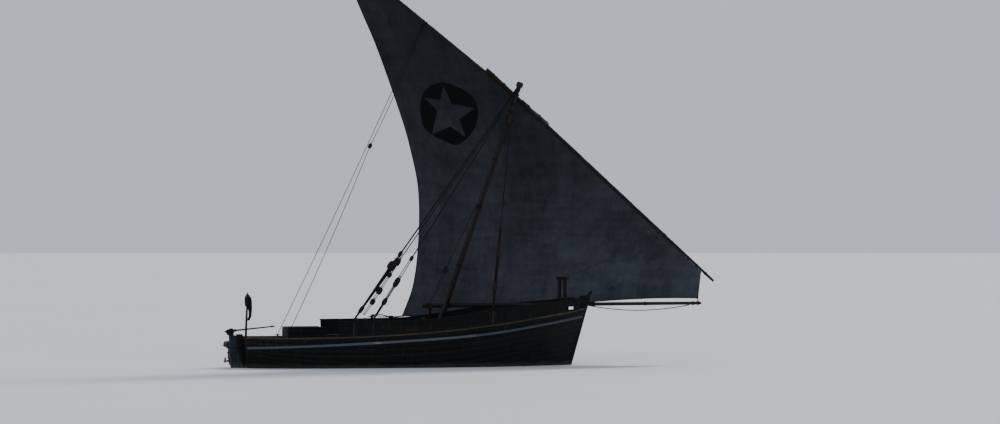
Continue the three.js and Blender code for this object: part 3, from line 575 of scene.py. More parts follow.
# %% Wood grain
# Grain is noise pulled out along the board. Vector's X runs along the grain.
grain_tree, came, leave = group(
    "Wood grain", {"Vector": (0, 0, 0)}, {"Streak": "Float", "Fibre": "Float"}
)
streak = speckle(scaled(came["Vector"], (0.5, 9, 9)), 1.0, 5.0, 0.6)
fibre = speckle(scaled(came["Vector"], (2.5, 80, 80)), 1.0, 3.0)
feed(leave, {"Streak": stretch(streak, 0.3, 0.7), "Fibre": fibre})

# %% Worn coat
# Paint or tar goes first in patches, then in flecks round them, and the wood shows through.
BLACK = (0, 0, 0, 1)
coat_tree, came, leave = group(
    "Worn coat", {"Vector": (0, 0, 0), "Coat": BLACK, "Under": BLACK, "Wear": 0.3}, {"Colour": "Color"}
)
patches = speckle(scaled(came["Vector"], (0.7, 2.2, 2.2)), 1.6, 6.0, 0.65)
flecks = speckle(scaled(came["Vector"], (4, 22, 22)), 1.0, 3.0, 0.7)
level = patches + (flecks - 0.5) * 0.5
bare = stretch(level - (0.86 - came["Wear"] * 0.55), -0.02, 0.05)
feed(leave, {"Colour": mixed(bare, came["Coat"], came["Under"])})

# %% Marks of the water
# Salt and weed leave a pale green line just over the water, and rain runs dirt down the side.
water_tree, came, leave = group(
    "Marks of the water",
    {"Vector": (0, 0, 0), "Colour": BLACK, "Dirt": (0.09, 0.08, 0.065, 1)},
    {"Colour": "Color", "Wet": "Float"},
)
height = node(water_tree, "SeparateXYZ", {0: came["Vector"]})["Z"]
line_height = height - speckle(came["Vector"], 1.3, 5.0) * 0.28
weed = 1.0 - stretch(line_height, -0.1, 0.06)
runs = speckle(scaled(came["Vector"], (10, 10, 0.8)), 1.0, 5.0, 0.65)
dirty = mixed(stretch(runs, 0.56, 0.85) * 0.3, came["Colour"], came["Dirt"])
feed(leave, {"Colour": mixed(weed * 0.55, dirty, (0.05, 0.06, 0.04, 1)), "Wet": weed})

# %% Woven canvas
# Heavy cotton: a plain weave close up, and from afar cloths of uneven tone, water stains, dust
# and painted crease shade. Vector is the cloth's own chart in metres, X across the cloths and Y along them.
canvas_tree, came, leave = group(
    "Woven canvas",
    {"Vector": (0, 0, 0), "Threads": 220.0, "Stain": 0.5},
    {"Weave": "Float", "Tone": "Float"},
)
threads = {"Vector": came["Vector"], "Scale": came["Threads"]}
warp, weft = (node(canvas_tree, "TexWave", threads, bands_direction=way)["Fac"] for way in "XY")
clouds = speckle(came["Vector"], 0.45, 7.0, 0.62)
blots = speckle(scaled(came["Vector"], (1.0, 0.6, 1.0)), 2.4, 6.0, 0.7)
slubs = speckle(scaled(came["Vector"], (26, 3, 1)), 1.0, 2.0)
# painted shade: bands where the cloth would crease
painted_crease_shade = speckle(scaled(came["Vector"], (0.35, 3.2, 1)), 1.0, 4.0, 0.6)
tone = clouds * 0.4 + blots * 0.35 + slubs * 0.08 + painted_crease_shade * 0.17 - 0.5
feed(leave, {"Weave": warp * weft, "Tone": tone * came["Stain"]})

# %% Laid rope
# Three strands twisted together read as slanting bands, with painted shade in the grooves between them. The chart runs
# round, then along.
rope_tree, came, leave = group("Laid rope", {"Vector": (0, 0, 0), "Lay": 60.0}, {"Strand": "Float"})
parts = node(rope_tree, "SeparateXYZ", {0: came["Vector"]})
slant = (parts["X"] + parts["Y"]) * came["Lay"]
feed(leave, {"Strand": abs(slant.sum("SINE"))})
print("shared groups", [tree.name for tree in bpy.data.node_groups])


# %% [markdown]
# ## Materials
# Each material chooses which way its boards run, places the shared groups, and keeps its own
# plain numbers on the shader itself. Soft colours stay low as painted shade: this is a boat seen
# against light, so each colour is darker than the surface itself.


# %% Wood in all its coats
def material(name, roughness=0.8, metallic=0.0, specular=0.5):
    """A plain material: itself, its tree and its shader's inputs."""
    made = bpy.data.materials.new(name)
    made.use_nodes = True
    shader = made.node_tree.nodes["Principled BSDF"].inputs
    feed(shader, {"Roughness": roughness, "Metallic": metallic, "Specular IOR Level": specular})
    return made, made.node_tree, shader


def axes(tree, chart, order):
    """The piece's own place, or its chart, with its axes put in the order along, across, through."""
    vector = node(tree, "TexCoord")["UV" if chart else "Object"]
    parts = node(tree, "SeparateXYZ", {0: vector})
    return node(tree, "CombineXYZ", {i: parts[letter] for i, letter in enumerate(order)})[0]


SEAM_COLOUR = (0.004, 0.0035, 0.003, 1)
# the width and length of a board, and the share of its width that the gap takes up
COMMON_BOARD = (0.2, 4, 0.05)
ONE_TIMBER = (2, 9, 0)
ONE_POLE = (9, 99, 0)


def wood(
    name, pale, dark, order="XYZ", chart=False, board=COMMON_BOARD, coat=None, wear=0.3, rough=0.8, wet=False
):
    """Boards of grained wood, bare or under a worn coat. Order says how the grain runs."""
    made, tree, shader = material(name, rough, specular=0.12)
    vector = axes(tree, chart, order)
    width, length, gap = board
    boards = placed(tree, board_tree, {"Vector": vector, "Width": width, "Length": length, "Gap": gap})
    grain = placed(tree, grain_tree, {"Vector": vector})
    colour = mixed(grain["Streak"], (*dark, 1), (*pale, 1))
    if coat:
        worn_by = axes(tree, False, "XYZ") if chart else vector
        values = {"Vector": worn_by, "Coat": (*coat, 1), "Under": colour, "Wear": wear}
        colour = placed(tree, coat_tree, values)["Colour"]
    colour = toned(colour, boards["Tone"] * 0.5 + 0.72)
    colour = mixed(boards["Seam"] * 0.7, colour, SEAM_COLOUR)
    if wet:
        place = node(tree, "TexCoord")["Object"]
        marks = placed(tree, water_tree, {"Vector": place, "Colour": colour})
        colour = marks["Colour"]
        feed(shader, {"Roughness": rough - marks["Wet"] * 0.35})
    relief = grain["Fibre"] * 0.3 - boards["Seam"]
    feed(shader, {"Base Color": colour, "Normal": bumped(relief, 0.004)})
    return made


TAR = (0.0048, 0.0048, 0.0052)
TAR_WORN = (0.02, 0.015, 0.012)
TAR_DEEP = (0.008, 0.0062, 0.0052)


def tarred(name, order, chart, board, wear, rough):
    """Outside timber under tar, with the marks of the water on it."""
    return wood(name, TAR_WORN, TAR_DEEP, order, chart, board, TAR, wear, rough, True)


planks = tarred("Tarred planks", "XYZ", True, (1, 4.5, 0.04), 0.34, 0.62)
strakes = tarred("Tarred strakes", "XZY", False, (0.28, 4.2, 0.03), 0.36, 0.66)
stern_boards = tarred("Tarred stern boards", "YZX", False, (0.24, 3, 0.03), 0.4, 0.66)
heavy = tarred("Tarred heavy timber", "XZY", False, ONE_TIMBER, 0.42, 0.7)
INNER = ((0.085, 0.058, 0.038), (0.032, 0.022, 0.015))
frames = wood("Rough frames", *INNER, "ZXY", False, ONE_TIMBER)
beams_wood = wood("Beam timber", *INNER, "YXZ", False, ONE_TIMBER)
long_wood = wood("Long inner timber", *INNER, "XYZ", False, ONE_TIMBER)
UPRIGHT = ((0.022, 0.0175, 0.014), (0.009, 0.0075, 0.0065))
upright_wood = wood("Upright timber", *UPRIGHT, "ZXY", False, ONE_TIMBER)
DECKING = ((0.15, 0.114, 0.08), (0.066, 0.047, 0.033))
deck_wood = wood("Deck boards", *DECKING, "XYZ", False, (0.17, 3.5, 0.04))
RAILING = ((0.075, 0.06, 0.043), (0.03, 0.0235, 0.017))
rail_wood = wood("Bare rail wood", *RAILING, "XYZ", False, (2, 2.6, 0))
# painted shade: the pale stripe's paint is coloured far darker than its own white, as it looks in shade
STRIPE_WOOD = ((0.2, 0.15, 0.1), (0.09, 0.065, 0.04))
STRIPE_COAT = (0.06, 0.073, 0.085)
stripe_paint = wood("Pale stripe paint", *STRIPE_WOOD, "XZY", False, (2, 5, 0), STRIPE_COAT, 0.4, 0.6)
# painted shade: the blue grey paint is coloured darker than its own, as it looks in shade
RUDDER_COAT = (0.018, 0.029, 0.037)
rudder_paint = wood(
    "Blue grey rudder paint", TAR_WORN, TAR_DEEP, "ZXY", False, (0.2, 9, 0.03), RUDDER_COAT, 0.5, 0.6, True
)
POLE = ((0.024, 0.0195, 0.016), (0.01, 0.0085, 0.0075))
pole_wood = wood("Round pole", *POLE, "YXZ", True, ONE_POLE, rough=0.6)
YARD_POLE = ((0.018, 0.014, 0.011), (0.008, 0.0065, 0.0055))
yard_wood = wood("Yard pole", *YARD_POLE, "YXZ", True, ONE_POLE, rough=0.65)

# %% Iron, paint on iron, rope and cloth
iron, tree, shader = material("Rusted iron", 0.72, 0.55)
vector = node(tree, "TexCoord")["Object"]
rust = stretch(speckle(vector, 14, 6.0, 0.7), 0.42, 0.62)
colour = mixed(rust, (0.016, 0.0145, 0.014, 1), (0.034, 0.017, 0.011, 1))
pitted = bumped(speckle(vector, 60, 4.0), 0.002)
feed(shader, {"Base Color": colour, "Roughness": rust * 0.45 + 0.45, "Normal": pitted})

motor_paint, tree, shader = material("Dark motor paint", 0.34)
vector = node(tree, "TexCoord")["Object"]
coat, under = (0.008, 0.0095, 0.0115, 1), (0.06, 0.06, 0.057, 1)
values = {"Vector": scaled(vector, (6, 6, 6)), "Coat": coat, "Under": under, "Wear": 0.2}
chipped = placed(tree, coat_tree, values)["Colour"]
dust = stretch(speckle(vector, 5, 6.0, 0.6), 0.45, 0.8)
colour = mixed(dust * 0.3, chipped, (0.03, 0.029, 0.027, 1))
grained = bumped(speckle(vector, 40, 3.0), 0.0006)
feed(shader, {"Base Color": colour, "Roughness": dust * 0.4 + 0.3, "Normal": grained})


def rope_material(name, pale, dark, lay):
    """Twisted rope: its colour, the painted shade between its strands, and how close they lie."""
    made, tree, shader = material(name, 0.9, specular=0.15)
    vector = node(tree, "TexCoord")["UV"]
    strand = placed(tree, rope_tree, {"Vector": vector, "Lay": lay})["Strand"]
    fuzz = speckle(scaled(vector, (30, 8, 1)), 3.0, 4.0, 0.7) * 0.4
    # painted shade: the colour goes dark in the grooves between the strands
    colour = mixed(strand * 0.6 + fuzz, (*dark, 1), (*pale, 1))
    feed(shader, {"Base Color": colour, "Normal": bumped(strand + fuzz, 0.003)})
    return made


# each rope's second colour is the painted shade between its strands
coir = rope_material("Coir rope", (0.036, 0.03, 0.023), (0.012, 0.01, 0.008), 110)
tarred_rope = rope_material("Tarred rope", (0.012, 0.0105, 0.0095), (0.005, 0.0045, 0.004), 110)
wrap_rope = rope_material("Rope wrapping", (0.02, 0.0165, 0.013), (0.007, 0.006, 0.005), 260)

SEAM_PITCH = 0.62
# painted shade: the sail's colour is darkened towards its top, between these heights
SAIL_SHADE_HEIGHTS = (3.0, 12.5)  # the cloth darkens between these heights


def cloth(name, plain, stain, threads, cloths=False, stain_amount=0.9):
    """Canvas with its stains, and where cloths is true its own tone for each sewn width and painted shade that darkens
    it towards the top.
    """
    made, tree, shader = material(name, 0.92, specular=0.15)
    vector = node(tree, "TexCoord")["UV"]
    woven = placed(tree, canvas_tree, {"Vector": vector, "Threads": threads, "Stain": stain_amount})
    colour = mixed(woven["Tone"].sum("ADD", 0.5, clamp=True), (*stain, 1), (*plain, 1))
    height = woven["Weave"] * 0.15
    if cloths:
        values = {"Vector": axes(tree, True, "YXZ"), "Width": SEAM_PITCH, "Length": 60, "Gap": 0.05}
        widths = placed(tree, board_tree, values)
        up_cloth = node(tree, "SeparateXYZ", {0: vector})["Y"]
        # painted shade: darker towards the top of the sail
        colour = toned(colour, widths["Tone"] * 0.14 + 0.93 - stretch(up_cloth, *SAIL_SHADE_HEIGHTS) * 0.68)
        seamed = mixed(1.0, colour, (0.9, 0.9, 0.9, 1), "MULTIPLY")
        colour = mixed(widths["Seam"], colour, seamed)
        height = height + widths["Seam"]
    feed(shader, {"Base Color": colour, "Normal": bumped(height, 0.003)})
    return made


# painted shade: the canvas is coloured the dark slate it shows in shade, though the cloth itself is paler
canvas = cloth("Weathered canvas", (0.066, 0.075, 0.089), (0.017, 0.0195, 0.0235), 220, True, 3.2)
canvas_black = cloth("Black painted canvas", (0.0045, 0.0045, 0.0048), (0.0018, 0.0018, 0.0018), 220)
flag_cloth = cloth("Limp flag cloth", (0.016, 0.017, 0.021), (0.007, 0.0075, 0.0095), 300)

# %% The floor
floor_paint, tree, shader = material("Pale floor", 0.75)
shade = stretch(speckle(node(tree, "TexCoord")["Object"], 0.05, 3.0), 0.2, 0.8)
feed(shader, {"Base Color": mixed(shade, (0.6, 0.6, 0.6, 1), (0.64, 0.64, 0.64, 1))})
print(len(bpy.data.materials), "materials")

# %% [markdown]
# ## Light
# The boat is seen against a bright sky: a broad sun from behind and to the right lights the
# edges of the spars and the top of the rail, the sky and a weak light from the front fill the
# rest evenly, and the side towards the camera stays dark.

# %% Sky and sun
sky = bpy.data.worlds.new("Pale sky")
bpy.context.scene.world = sky
sky.use_nodes = True
sky.node_tree.nodes["Background"].inputs["Color"].default_value = (0.8, 0.88, 1, 1)
sky.node_tree.nodes["Background"].inputs["Strength"].default_value = 0.72

# name: where it shines from, strength, how wide it looks in degrees
SUNS = {"sun": ((70, 60, 75), 2.4, 12), "fill": ((-50, -90, 45), 0.5, 40)}
for name, (shines_from, strength, width) in SUNS.items():
    bpy.ops.object.light_add(type="SUN", location=shines_from)
    sun = bpy.context.object
    sun.name = name
    sun.rotation_euler = Vector(shines_from).to_track_quat("Z", "Y").to_euler()
    sun.data.energy = strength
    sun.data.angle = math.radians(width)
print("lights", list(SUNS))

# %% [markdown]
# ## The shape of the hull
# A dhow is built by eye: planks first, bent round a few moulds. The hull is drawn round a few sections too.
# Ten half sections run from the backbone past two guide points to the sheer, and four smooth
# curves run through them from stern to stem. Any point of the skin is then a share along the
# hull and a share up the section.

# %% Hull lines
# foot x, z; garboard guide y, z; bilge guide y, z; sheer x, y, z
SECTIONS = (
    (-6.85, -0.33, 0.15, -0.16, 0.86, 0.02, -6.965, 0.95, 1.19),
    (-6.35, -0.82, 0.19, -0.62, 1.12, -0.18, -6.25, 1.25, 1.172),
    (-5.0, -1.02, 0.42, -0.88, 1.52, -0.33, -5.0, 1.6, 1.165),
    (-3.5, -1.08, 0.82, -0.96, 1.83, -0.31, -3.5, 1.83, 1.19),
    (-1.2, -1.11, 1.11, -0.99, 2.0, -0.28, -1.2, 1.97, 1.285),
    (1.2, -1.11, 1.08, -0.98, 1.96, -0.24, 1.2, 1.98, 1.465),
    (3.1, -1.08, 0.74, -0.93, 1.6, -0.14, 3.3, 1.76, 1.71),
    (4.5, -1.04, 0.33, -0.84, 0.98, 0.06, 5.0, 1.24, 1.95),
    (5.35, -0.98, 0.15, -0.64, 0.42, 0.56, 6.25, 0.64, 2.13),
    (5.93, -0.86, 0.1, -0.2, 0.1, 1.4, 7.11, 0.1, 2.27),
)
BACKBONE_HALF = 0.0903
PLANK = 0.045
TRANSOM_THICK = 0.0603
hull_anchors = (
    [(s[0], 0.09, s[1]) for s in SECTIONS],
    [(s[0] + (s[6] - s[0]) / 3, s[2], s[3]) for s in SECTIONS],
    [(s[0] + (s[6] - s[0]) * 2 / 3, s[4], s[5]) for s in SECTIONS],
    [(s[6], s[7], s[8]) for s in SECTIONS],
)


def transom_x(z):
    """Where the after face of the transom stands at a height."""
    return -6.87 - 0.078 * z


def half_section(u, shares):
    """Points of the port half section at u, at even shares from the foot to the sheer."""
    foot, garboard, bilge, sheer = (curve_at(anchors, [u])[0] for anchors in hull_anchors)
    t = np.linspace(0, 1, 81)[:, None]
    fine = (1 - t) ** 3 * foot + 3 * (1 - t) ** 2 * t * garboard + 3 * (1 - t) * t**2 * bilge + t**3 * sheer
    run = np.concatenate([[0], np.cumsum(np.linalg.norm(np.diff(fine, axis=0), axis=1))])
    points = np.stack([np.interp(np.array(shares) * run[-1], run, fine[:, k]) for k in range(3)], axis=1)
    ahead = np.gradient(points, axis=0)
    out = np.stack([np.zeros(len(points)), ahead[:, 2], -ahead[:, 1]], axis=1)
    return points, out / np.linalg.norm(out, axis=1)[:, None]


fine_shares = np.linspace(0, 1, 801)
sheer_points = curve_at(hull_anchors[3], fine_shares)


def on_sheer(x):
    """The sheer's point at x, and its level outward direction there."""
    point = Vector([np.interp(x, sheer_points[:, 0], sheer_points[:, k]) for k in range(3)])
    ahead = Vector([np.interp(x, sheer_points[:, 0], np.gradient(sheer_points[:, k])) for k in range(3)])
    return point, Vector((-ahead.y, ahead.x, 0)).normalized()


print("the sheer is", round(on_sheer(0)[0].z, 3), "above the water amidships")

# %% [markdown]
# ## Floor
# The floor stands for flat calm water, so it meets the hull at the waterline. A plain sheet
# would fill the hold with floor, so the sheet has an opening in the shape of the hull, a finger
# inside the planks: the inner ring of a wide ring of faces follows the waterline.

# %% Floor with an opening for the hull
FLOOR_RADIUS = 900
waterline = []
for i in range(61):
    points, out = half_section(i / 60, np.linspace(0, 1, 41))
    x, y = (np.interp(0, points[:, 2], points[:, k]) for k in (0, 1))
    waterline.append((max(x, -6.84), max(y - 0.02, 0.02)))
waterline += [(x, -y) for x, y in reversed(waterline)]
around = len(waterline)


def floor_corner(i, j):
    if j == 0:
        return (*waterline[i % around], 0)
    angle = math.pi - 2 * math.pi * ((i % around) + 0.5) / around
    return FLOOR_RADIUS * math.cos(angle), FLOOR_RADIUS * math.sin(angle), 0


floor = grid("floor", around, 1, floor_corner, lambda i, j: (i, j))
edit(floor, merge_doubles)
if floor.data.polygons[0].normal.z < 0:
    edit(floor, bpy.ops.mesh.flip_normals)
floor.data.materials.append(floor_paint)
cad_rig.stage(floor)
print("the floor has", len(floor.data.polygons), "faces")

# %% [markdown]
# ## Planking
# Each side has fourteen strakes. A flat skin with lines drawn on it looks painted, so each
# strake gets real edges: a narrow groove packed with cotton, two eased edges, and a slight crown
# between them. The boards taper towards the ends because each strake has the same share of the
# girth everywhere. The chart counts metres along and strakes up, so each board has its own tone.

# %% Planking of one side, and its twin
STRAKES = 14
STATIONS = 150
# share of a strake's width, and how far the surface stands proud there
STRAKE_PROFILE = ((0.0, -0.006), (0.035, 0.0), (0.5, 0.003), (0.965, 0.0))
plank_rows = [(k + share, proud) for k in range(STRAKES) for share, proud in STRAKE_PROFILE]
plank_rows.append((STRAKES, 0.0))
plank_shares = [row / STRAKES for row, proud in plank_rows]
stations = []
for i in range(STATIONS + 1):
    points, out = half_section(i / STATIONS, plank_shares)
    points = points + out * np.array([proud for row, proud in plank_rows])[:, None]
    points[:, 0] = np.maximum(points[:, 0], transom_x(points[:, 2]) + TRANSOM_THICK)
    points[:, 1] = np.maximum(points[:, 1], BACKBONE_HALF)
    stations.append(points)


def planked_side(name):
    piece = grid(
        name,
        STATIONS,
        len(plank_rows) - 1,
        lambda i, j: stations[i][j],
        lambda i, j: (stations[i][j][0] + 10, plank_rows[j][0]),
    )
    edit(piece, bpy.ops.mesh.flip_normals)
    piece.data.materials.append(planks)
    piece.data.materials.append(long_wood)
    modify(piece, "SOLIDIFY", thickness=PLANK, offset=-1, material_offset=1)
    for vertex in piece.data.vertices:
        vertex.co.y = max(vertex.co.y, BACKBONE_HALF)
        vertex.co.x = max(vertex.co.x, transom_x(vertex.co.z) + TRANSOM_THICK)
    smooth(piece, 50)
    return piece


port_planking = planked_side("planking_port")
starboard_planking = mirrored(port_planking, "planking_starboard")
for side, piece in (("port", port_planking), ("starboard", starboard_planking)):
    settle(piece, "hull", None, "tarred_planking", f"bottom_planking_{side}", f"topside_planking_{side}")

# %% Nail heads
# Iron nails hold each strake to each frame, two by two, and their heads rust.
deselect()
bpy.ops.mesh.primitive_cone_add(vertices=6, radius1=0.014, radius2=0.008, depth=0.006)
nail = bpy.context.object


def scattered(name, pattern, places):
    """Many copies of a small pattern as one piece. A place is a spot and which way is up there."""
    corners = [vertex.co.copy() for vertex in pattern.data.vertices]
    faces = [tuple(face.vertices) for face in pattern.data.polygons]
    points = []
    polygons = []
    for spot, up in places:
        turn = Vector(up).to_track_quat("Z", "Y")
        polygons += [tuple(len(points) + i for i in face) for face in faces]
        points += [Vector(spot) + turn @ corner for corner in corners]
    piece = added(name, bpy.data.meshes.new(name))
    piece.data.from_pydata(points, [], polygons)
    bpy.data.objects.remove(pattern)
    return piece


NAIL_COLUMNS = 30
CLEAR_OF_STEM = 0.14
nail_rows = [(k + share) / STRAKES for k in range(5, STRAKES) for share in (0.24, 0.76)]
nail_places = []
for i in range(NAIL_COLUMNS):
    points, out = half_section(0.02 + 0.94 * i / (NAIL_COLUMNS - 1), nail_rows)
    for spot, up in zip(points, out):
        if spot[1] > CLEAR_OF_STEM:
            nail_places.append((spot + up * 0.004, up))
            nail_places.append((spot * (1, -1, 1) + up * (0, -0.004, 0.004), up * (1, -1, 1)))
settle(scattered("nail_heads", nail, nail_places), "hull", iron, "iron_fittings")

# %% [markdown]
# ## Backbone, transom and frames
# These are heavy sawn timbers and their true size is in the frame already, so copies of the
# frame's solids are eased along their edges. The transom's boards are grooved into it.

# %% Backbone and transom
# name: the solid it is made from, and how far its edges are eased
BACKBONE = {
    "keel_timber": ("keel", 0.015),
    "stem_timber": ("stem_post", 0.014),
    "sternpost_timber": ("stern_post", 0.012),
}
for name, (solid, edge) in BACKBONE.items():
    settle(softened(name, solid, edge=edge), "hull", heavy, "backbone_timber", solid)
GROOVE = 0.004
board_joins = [z / 100 for z in range(-24, 120, 24)]
grooves = [((-8, -2, z - GROOVE), (transom_x(z) + 0.008, 2, z + GROOVE)) for z in board_joins]
transom = softened("transom_boards", "transom", edge=0.005, groove=grooves)
settle(transom, "hull", stern_boards, "tarred_planking", "transom")

# %% Frames, keelson, beams and thwart
# name: the solid it is made from, how far its edges are eased, its wood
TIMBERS = {
    "frames_port": ("ribs_port", 0.008, frames),
    "frames_starboard": ("ribs_starboard", 0.008, frames),
    "keelson_timber": ("keelson_and_floors", 0.01, long_wood),
    "hold_beam_timbers": ("hold_beams", 0.008, beams_wood),
    "mast_thwart_timber": ("mast_thwart", 0.012, beams_wood),
    "mast_step_timber": ("mast_step", 0.012, long_wood),
    "breasthook_timber": ("breasthook", 0.012, beams_wood),
    "bowsprit_chock_timber": ("bowsprit_chock", 0.008, upright_wood),
    "bowsprit_crutch_timber": ("bowsprit_crutch", 0.01, upright_wood),
    "bow_gallows_frame": ("bow_gallows", 0.01, upright_wood),
}
for name, (solid, edge, finish) in TIMBERS.items():
    settle(softened(name, solid, edge=edge), "hull", finish, "inner_timber", solid)

# %% [markdown]
# ## Rail, wash strakes and stripe
# The rail cap closes the heads of the frames. Forward of the stern the side is raised with three
# more boards that lean out a little, nailed to stanchions and topped with a thin rail, and they
# start abruptly so that cargo can be handed over the low part. The stripe is a wale, a thicker
# strake that takes the knocks, and it is the only bright paint on the boat. Each is one ring of
# points swept along the side.


# %% Strips swept along the hull
def sheer_strip(name, from_x, to_x, steps, ring):
    """A closed strip along the port sheer. Ring gives pairs of metres out and up at a point."""
    rings = []
    for i in range(steps + 1):
        point, out = on_sheer(from_x + (to_x - from_x) * i / steps)
        rings.append([point + out * n + Vector((0, 0, up)) for n, up in ring(point)])
    piece = skin(name, rings, 40)
    for vertex in piece.data.vertices:
        vertex.co.y = max(vertex.co.y, BACKBONE_HALF)
    return piece


def eased(low_n, low_up, high_n, high_up, lean=0.0, edge=0.006):
    """The ring of a sawn strip from one corner to the other, leaning out, its edges cut off."""
    corners = [
        (low_n + edge, low_up),
        (high_n - edge, low_up),
        (high_n, low_up + edge),
        (high_n, high_up - edge),
        (high_n - edge, high_up),
        (low_n + edge, high_up),
        (low_n, high_up - edge),
        (low_n, low_up + edge),
    ]
    return [(n + up * lean, up) for n, up in corners]


# %% Rail caps
RAIL_FROM, RAIL_TO = -6.955, 6.955
rail = sheer_strip("cap", RAIL_FROM, RAIL_TO, 110, lambda point: eased(-0.15, 0.001, 0.028, 0.045))
lip = sheer_strip("lip", RAIL_FROM, RAIL_TO, 110, lambda point: eased(0.004, -0.015, 0.028, 0.02))
rail = joined("rail_cap_port_boards", [rail, lip])
for side, piece in (("port", rail), ("starboard", mirrored(rail, "rail_cap_starboard_boards"))):
    settle(piece, "hull", rail_wood, "rail_wood", f"rail_cap_{side}")

# %% Wash strakes
STRAKE_FROM, STRAKE_TO = -3.48, 6.68
STRAKE_LOW = 0.0455
STRAKE_LEAN = 0.16
# x and height of the top edge
STRAKE_TOP = (
    (-3.48, 1.862),
    (-1.0, 1.885),
    (0.14, 1.925),
    (1.55, 2.105),
    (2.82, 2.3),
    (4.23, 2.465),
    (5.9, 2.635),
    (6.9, 2.74),
)
strake_line = curve_at(STRAKE_TOP, fine_shares)


def strake_top(x):
    return float(np.interp(x, strake_line[:, 0], strake_line[:, 1]))


def strake_rise(point):
    """How far the wash strake rises over the sheer at a point of the sheer."""
    return strake_top(point.x) - point.z


def boarded(point):
    """A ring up the outside of the raised boards, with a groove at each join, and down inside."""
    rise = strake_rise(point)
    joins = [STRAKE_LOW + (rise - STRAKE_LOW) * k / 3 for k in (1, 2)]
    outer = [(0.018, STRAKE_LOW)]
    for join in joins:
        outer += [(0.018, join - 0.005), (0.01, join - 0.001), (0.01, join + 0.001), (0.018, join + 0.005)]
    outer += [(0.018, rise - 0.004)]
    inner = [(-n, up) for n, up in reversed(outer)]
    return [(n + up * STRAKE_LEAN, up) for n, up in outer + inner]


def stanchion(x):
    def ring(point):
        return eased(-0.095, STRAKE_LOW, -0.0185, strake_rise(point) - 0.003, STRAKE_LEAN)

    return sheer_strip("stanchion", x - 0.035, x + 0.035, 1, ring)


def top_rail(point):
    rise = strake_rise(point)
    lean = rise * STRAKE_LEAN
    return [(n + lean, up) for n, up in eased(-0.04, rise - 0.04, 0.032, rise + 0.006, 0, 0.009)]


boards = sheer_strip("boards", STRAKE_FROM, STRAKE_TO, 90, boarded)
STANCHIONS = (-3.3, -1.9, -0.5, 0.9, 2.3, 3.7, 5.1)
stiff = [stanchion(x) for x in STANCHIONS]
raised = joined("wash_strake_port_boards", [boards, *stiff])
# The photo sees the sky through both hawse openings at a slant, so the far one reaches further
# forward than the near one.
HAWSE_FROM, HAWSE_LOW, HAWSE_HIGH = 6.06, 2.205, 2.365
NEAR_HAWSE_TO, FAR_HAWSE_TO = 6.42, 6.66
near_raised = mirrored(raised, "wash_strake_starboard_boards")
cut(near_raised, [((HAWSE_FROM, -2.5, HAWSE_LOW), (NEAR_HAWSE_TO, 0, HAWSE_HIGH))])
cut(raised, [((HAWSE_FROM, 0, HAWSE_LOW), (FAR_HAWSE_TO, 2.5, HAWSE_HIGH))])
top = sheer_strip("wash_strake_port_rail", STRAKE_FROM - 0.02, STRAKE_TO, 90, top_rail)
near_top = mirrored(top, "wash_strake_starboard_rail")
for side, boards, rail in (("starboard", near_raised, near_top), ("port", raised, top)):
    settle(boards, "hull", strakes, "tarred_planking", f"wash_strake_{side}")
    settle(rail, "hull", heavy, "tarred_planking", f"wash_strake_{side}")

# %% Pale stripe
# x and height of the middle of the stripe
STRIPE = (
    (-6.98, 0.8),
    (-4.8, 0.868),
    (-3.23, 0.938),
    (-1.02, 1.052),
    (2.3, 1.292),
    (4.97, 1.655),
    (6.96, 1.965),
)
stripe_line = curve_at(STRIPE, fine_shares)
stripe_rings = []
for i in range(121):
    points, out = half_section(i / 120, np.linspace(0.4, 1, 121))
    wanted = np.interp(points[:, 0], stripe_line[:, 0], stripe_line[:, 1])
    here = int(np.argmin(np.abs(points[:, 2] - wanted)))
    centre, away = Vector(points[here]), Vector(out[here])
    centre.z += float(wanted[here]) - centre.z
    rise = Vector((0, -away.z, away.y))
    profile = eased(-0.012, -0.048, 0.026, 0.048, 0, 0.008)
    stripe_rings.append([centre + away * n + rise * up for n, up in profile])
stripe = skin("sheer_stripe_port_wale", stripe_rings, 40)
for vertex in stripe.data.vertices:
    vertex.co.y = max(vertex.co.y, BACKBONE_HALF)
    vertex.co.x = min(max(vertex.co.x, transom_x(vertex.co.z) + 0.003), 6.9)
for side, piece in (("port", stripe), ("starboard", mirrored(stripe, "sheer_stripe_starboard_wale"))):
    settle(piece, "hull", stripe_paint, "pale_stripe_paint", f"sheer_stripe_{side}")

# %% [markdown]
# ## Decks, hold floor and locker
# Deck boards run fore and aft with open seams, so each seam is a cut groove that lines up with
# the change of tone in the wood. The locker is a box of upright-cornered boards whose lid lifts.

# %% Decks
DECK_BOARD = 0.17
# solid, height of its top
DECKS = {"fore_deck": 1.6, "stern_deck": 0.87, "hold_floor": -0.58}
for name, top_z in DECKS.items():
    low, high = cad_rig.box(name)
    seams = [k * DECK_BOARD for k in range(-11, 12) if low[1] < k * DECK_BOARD < high[1]]
    grooves = [((-8, y - GROOVE, top_z - 0.012), (8, y + GROOVE, top_z + 0.01)) for y in seams]
    deck = softened(name + "_boards", name, edge=0.004, groove=grooves)
    settle(deck, "hull", deck_wood, "deck_boards", name)

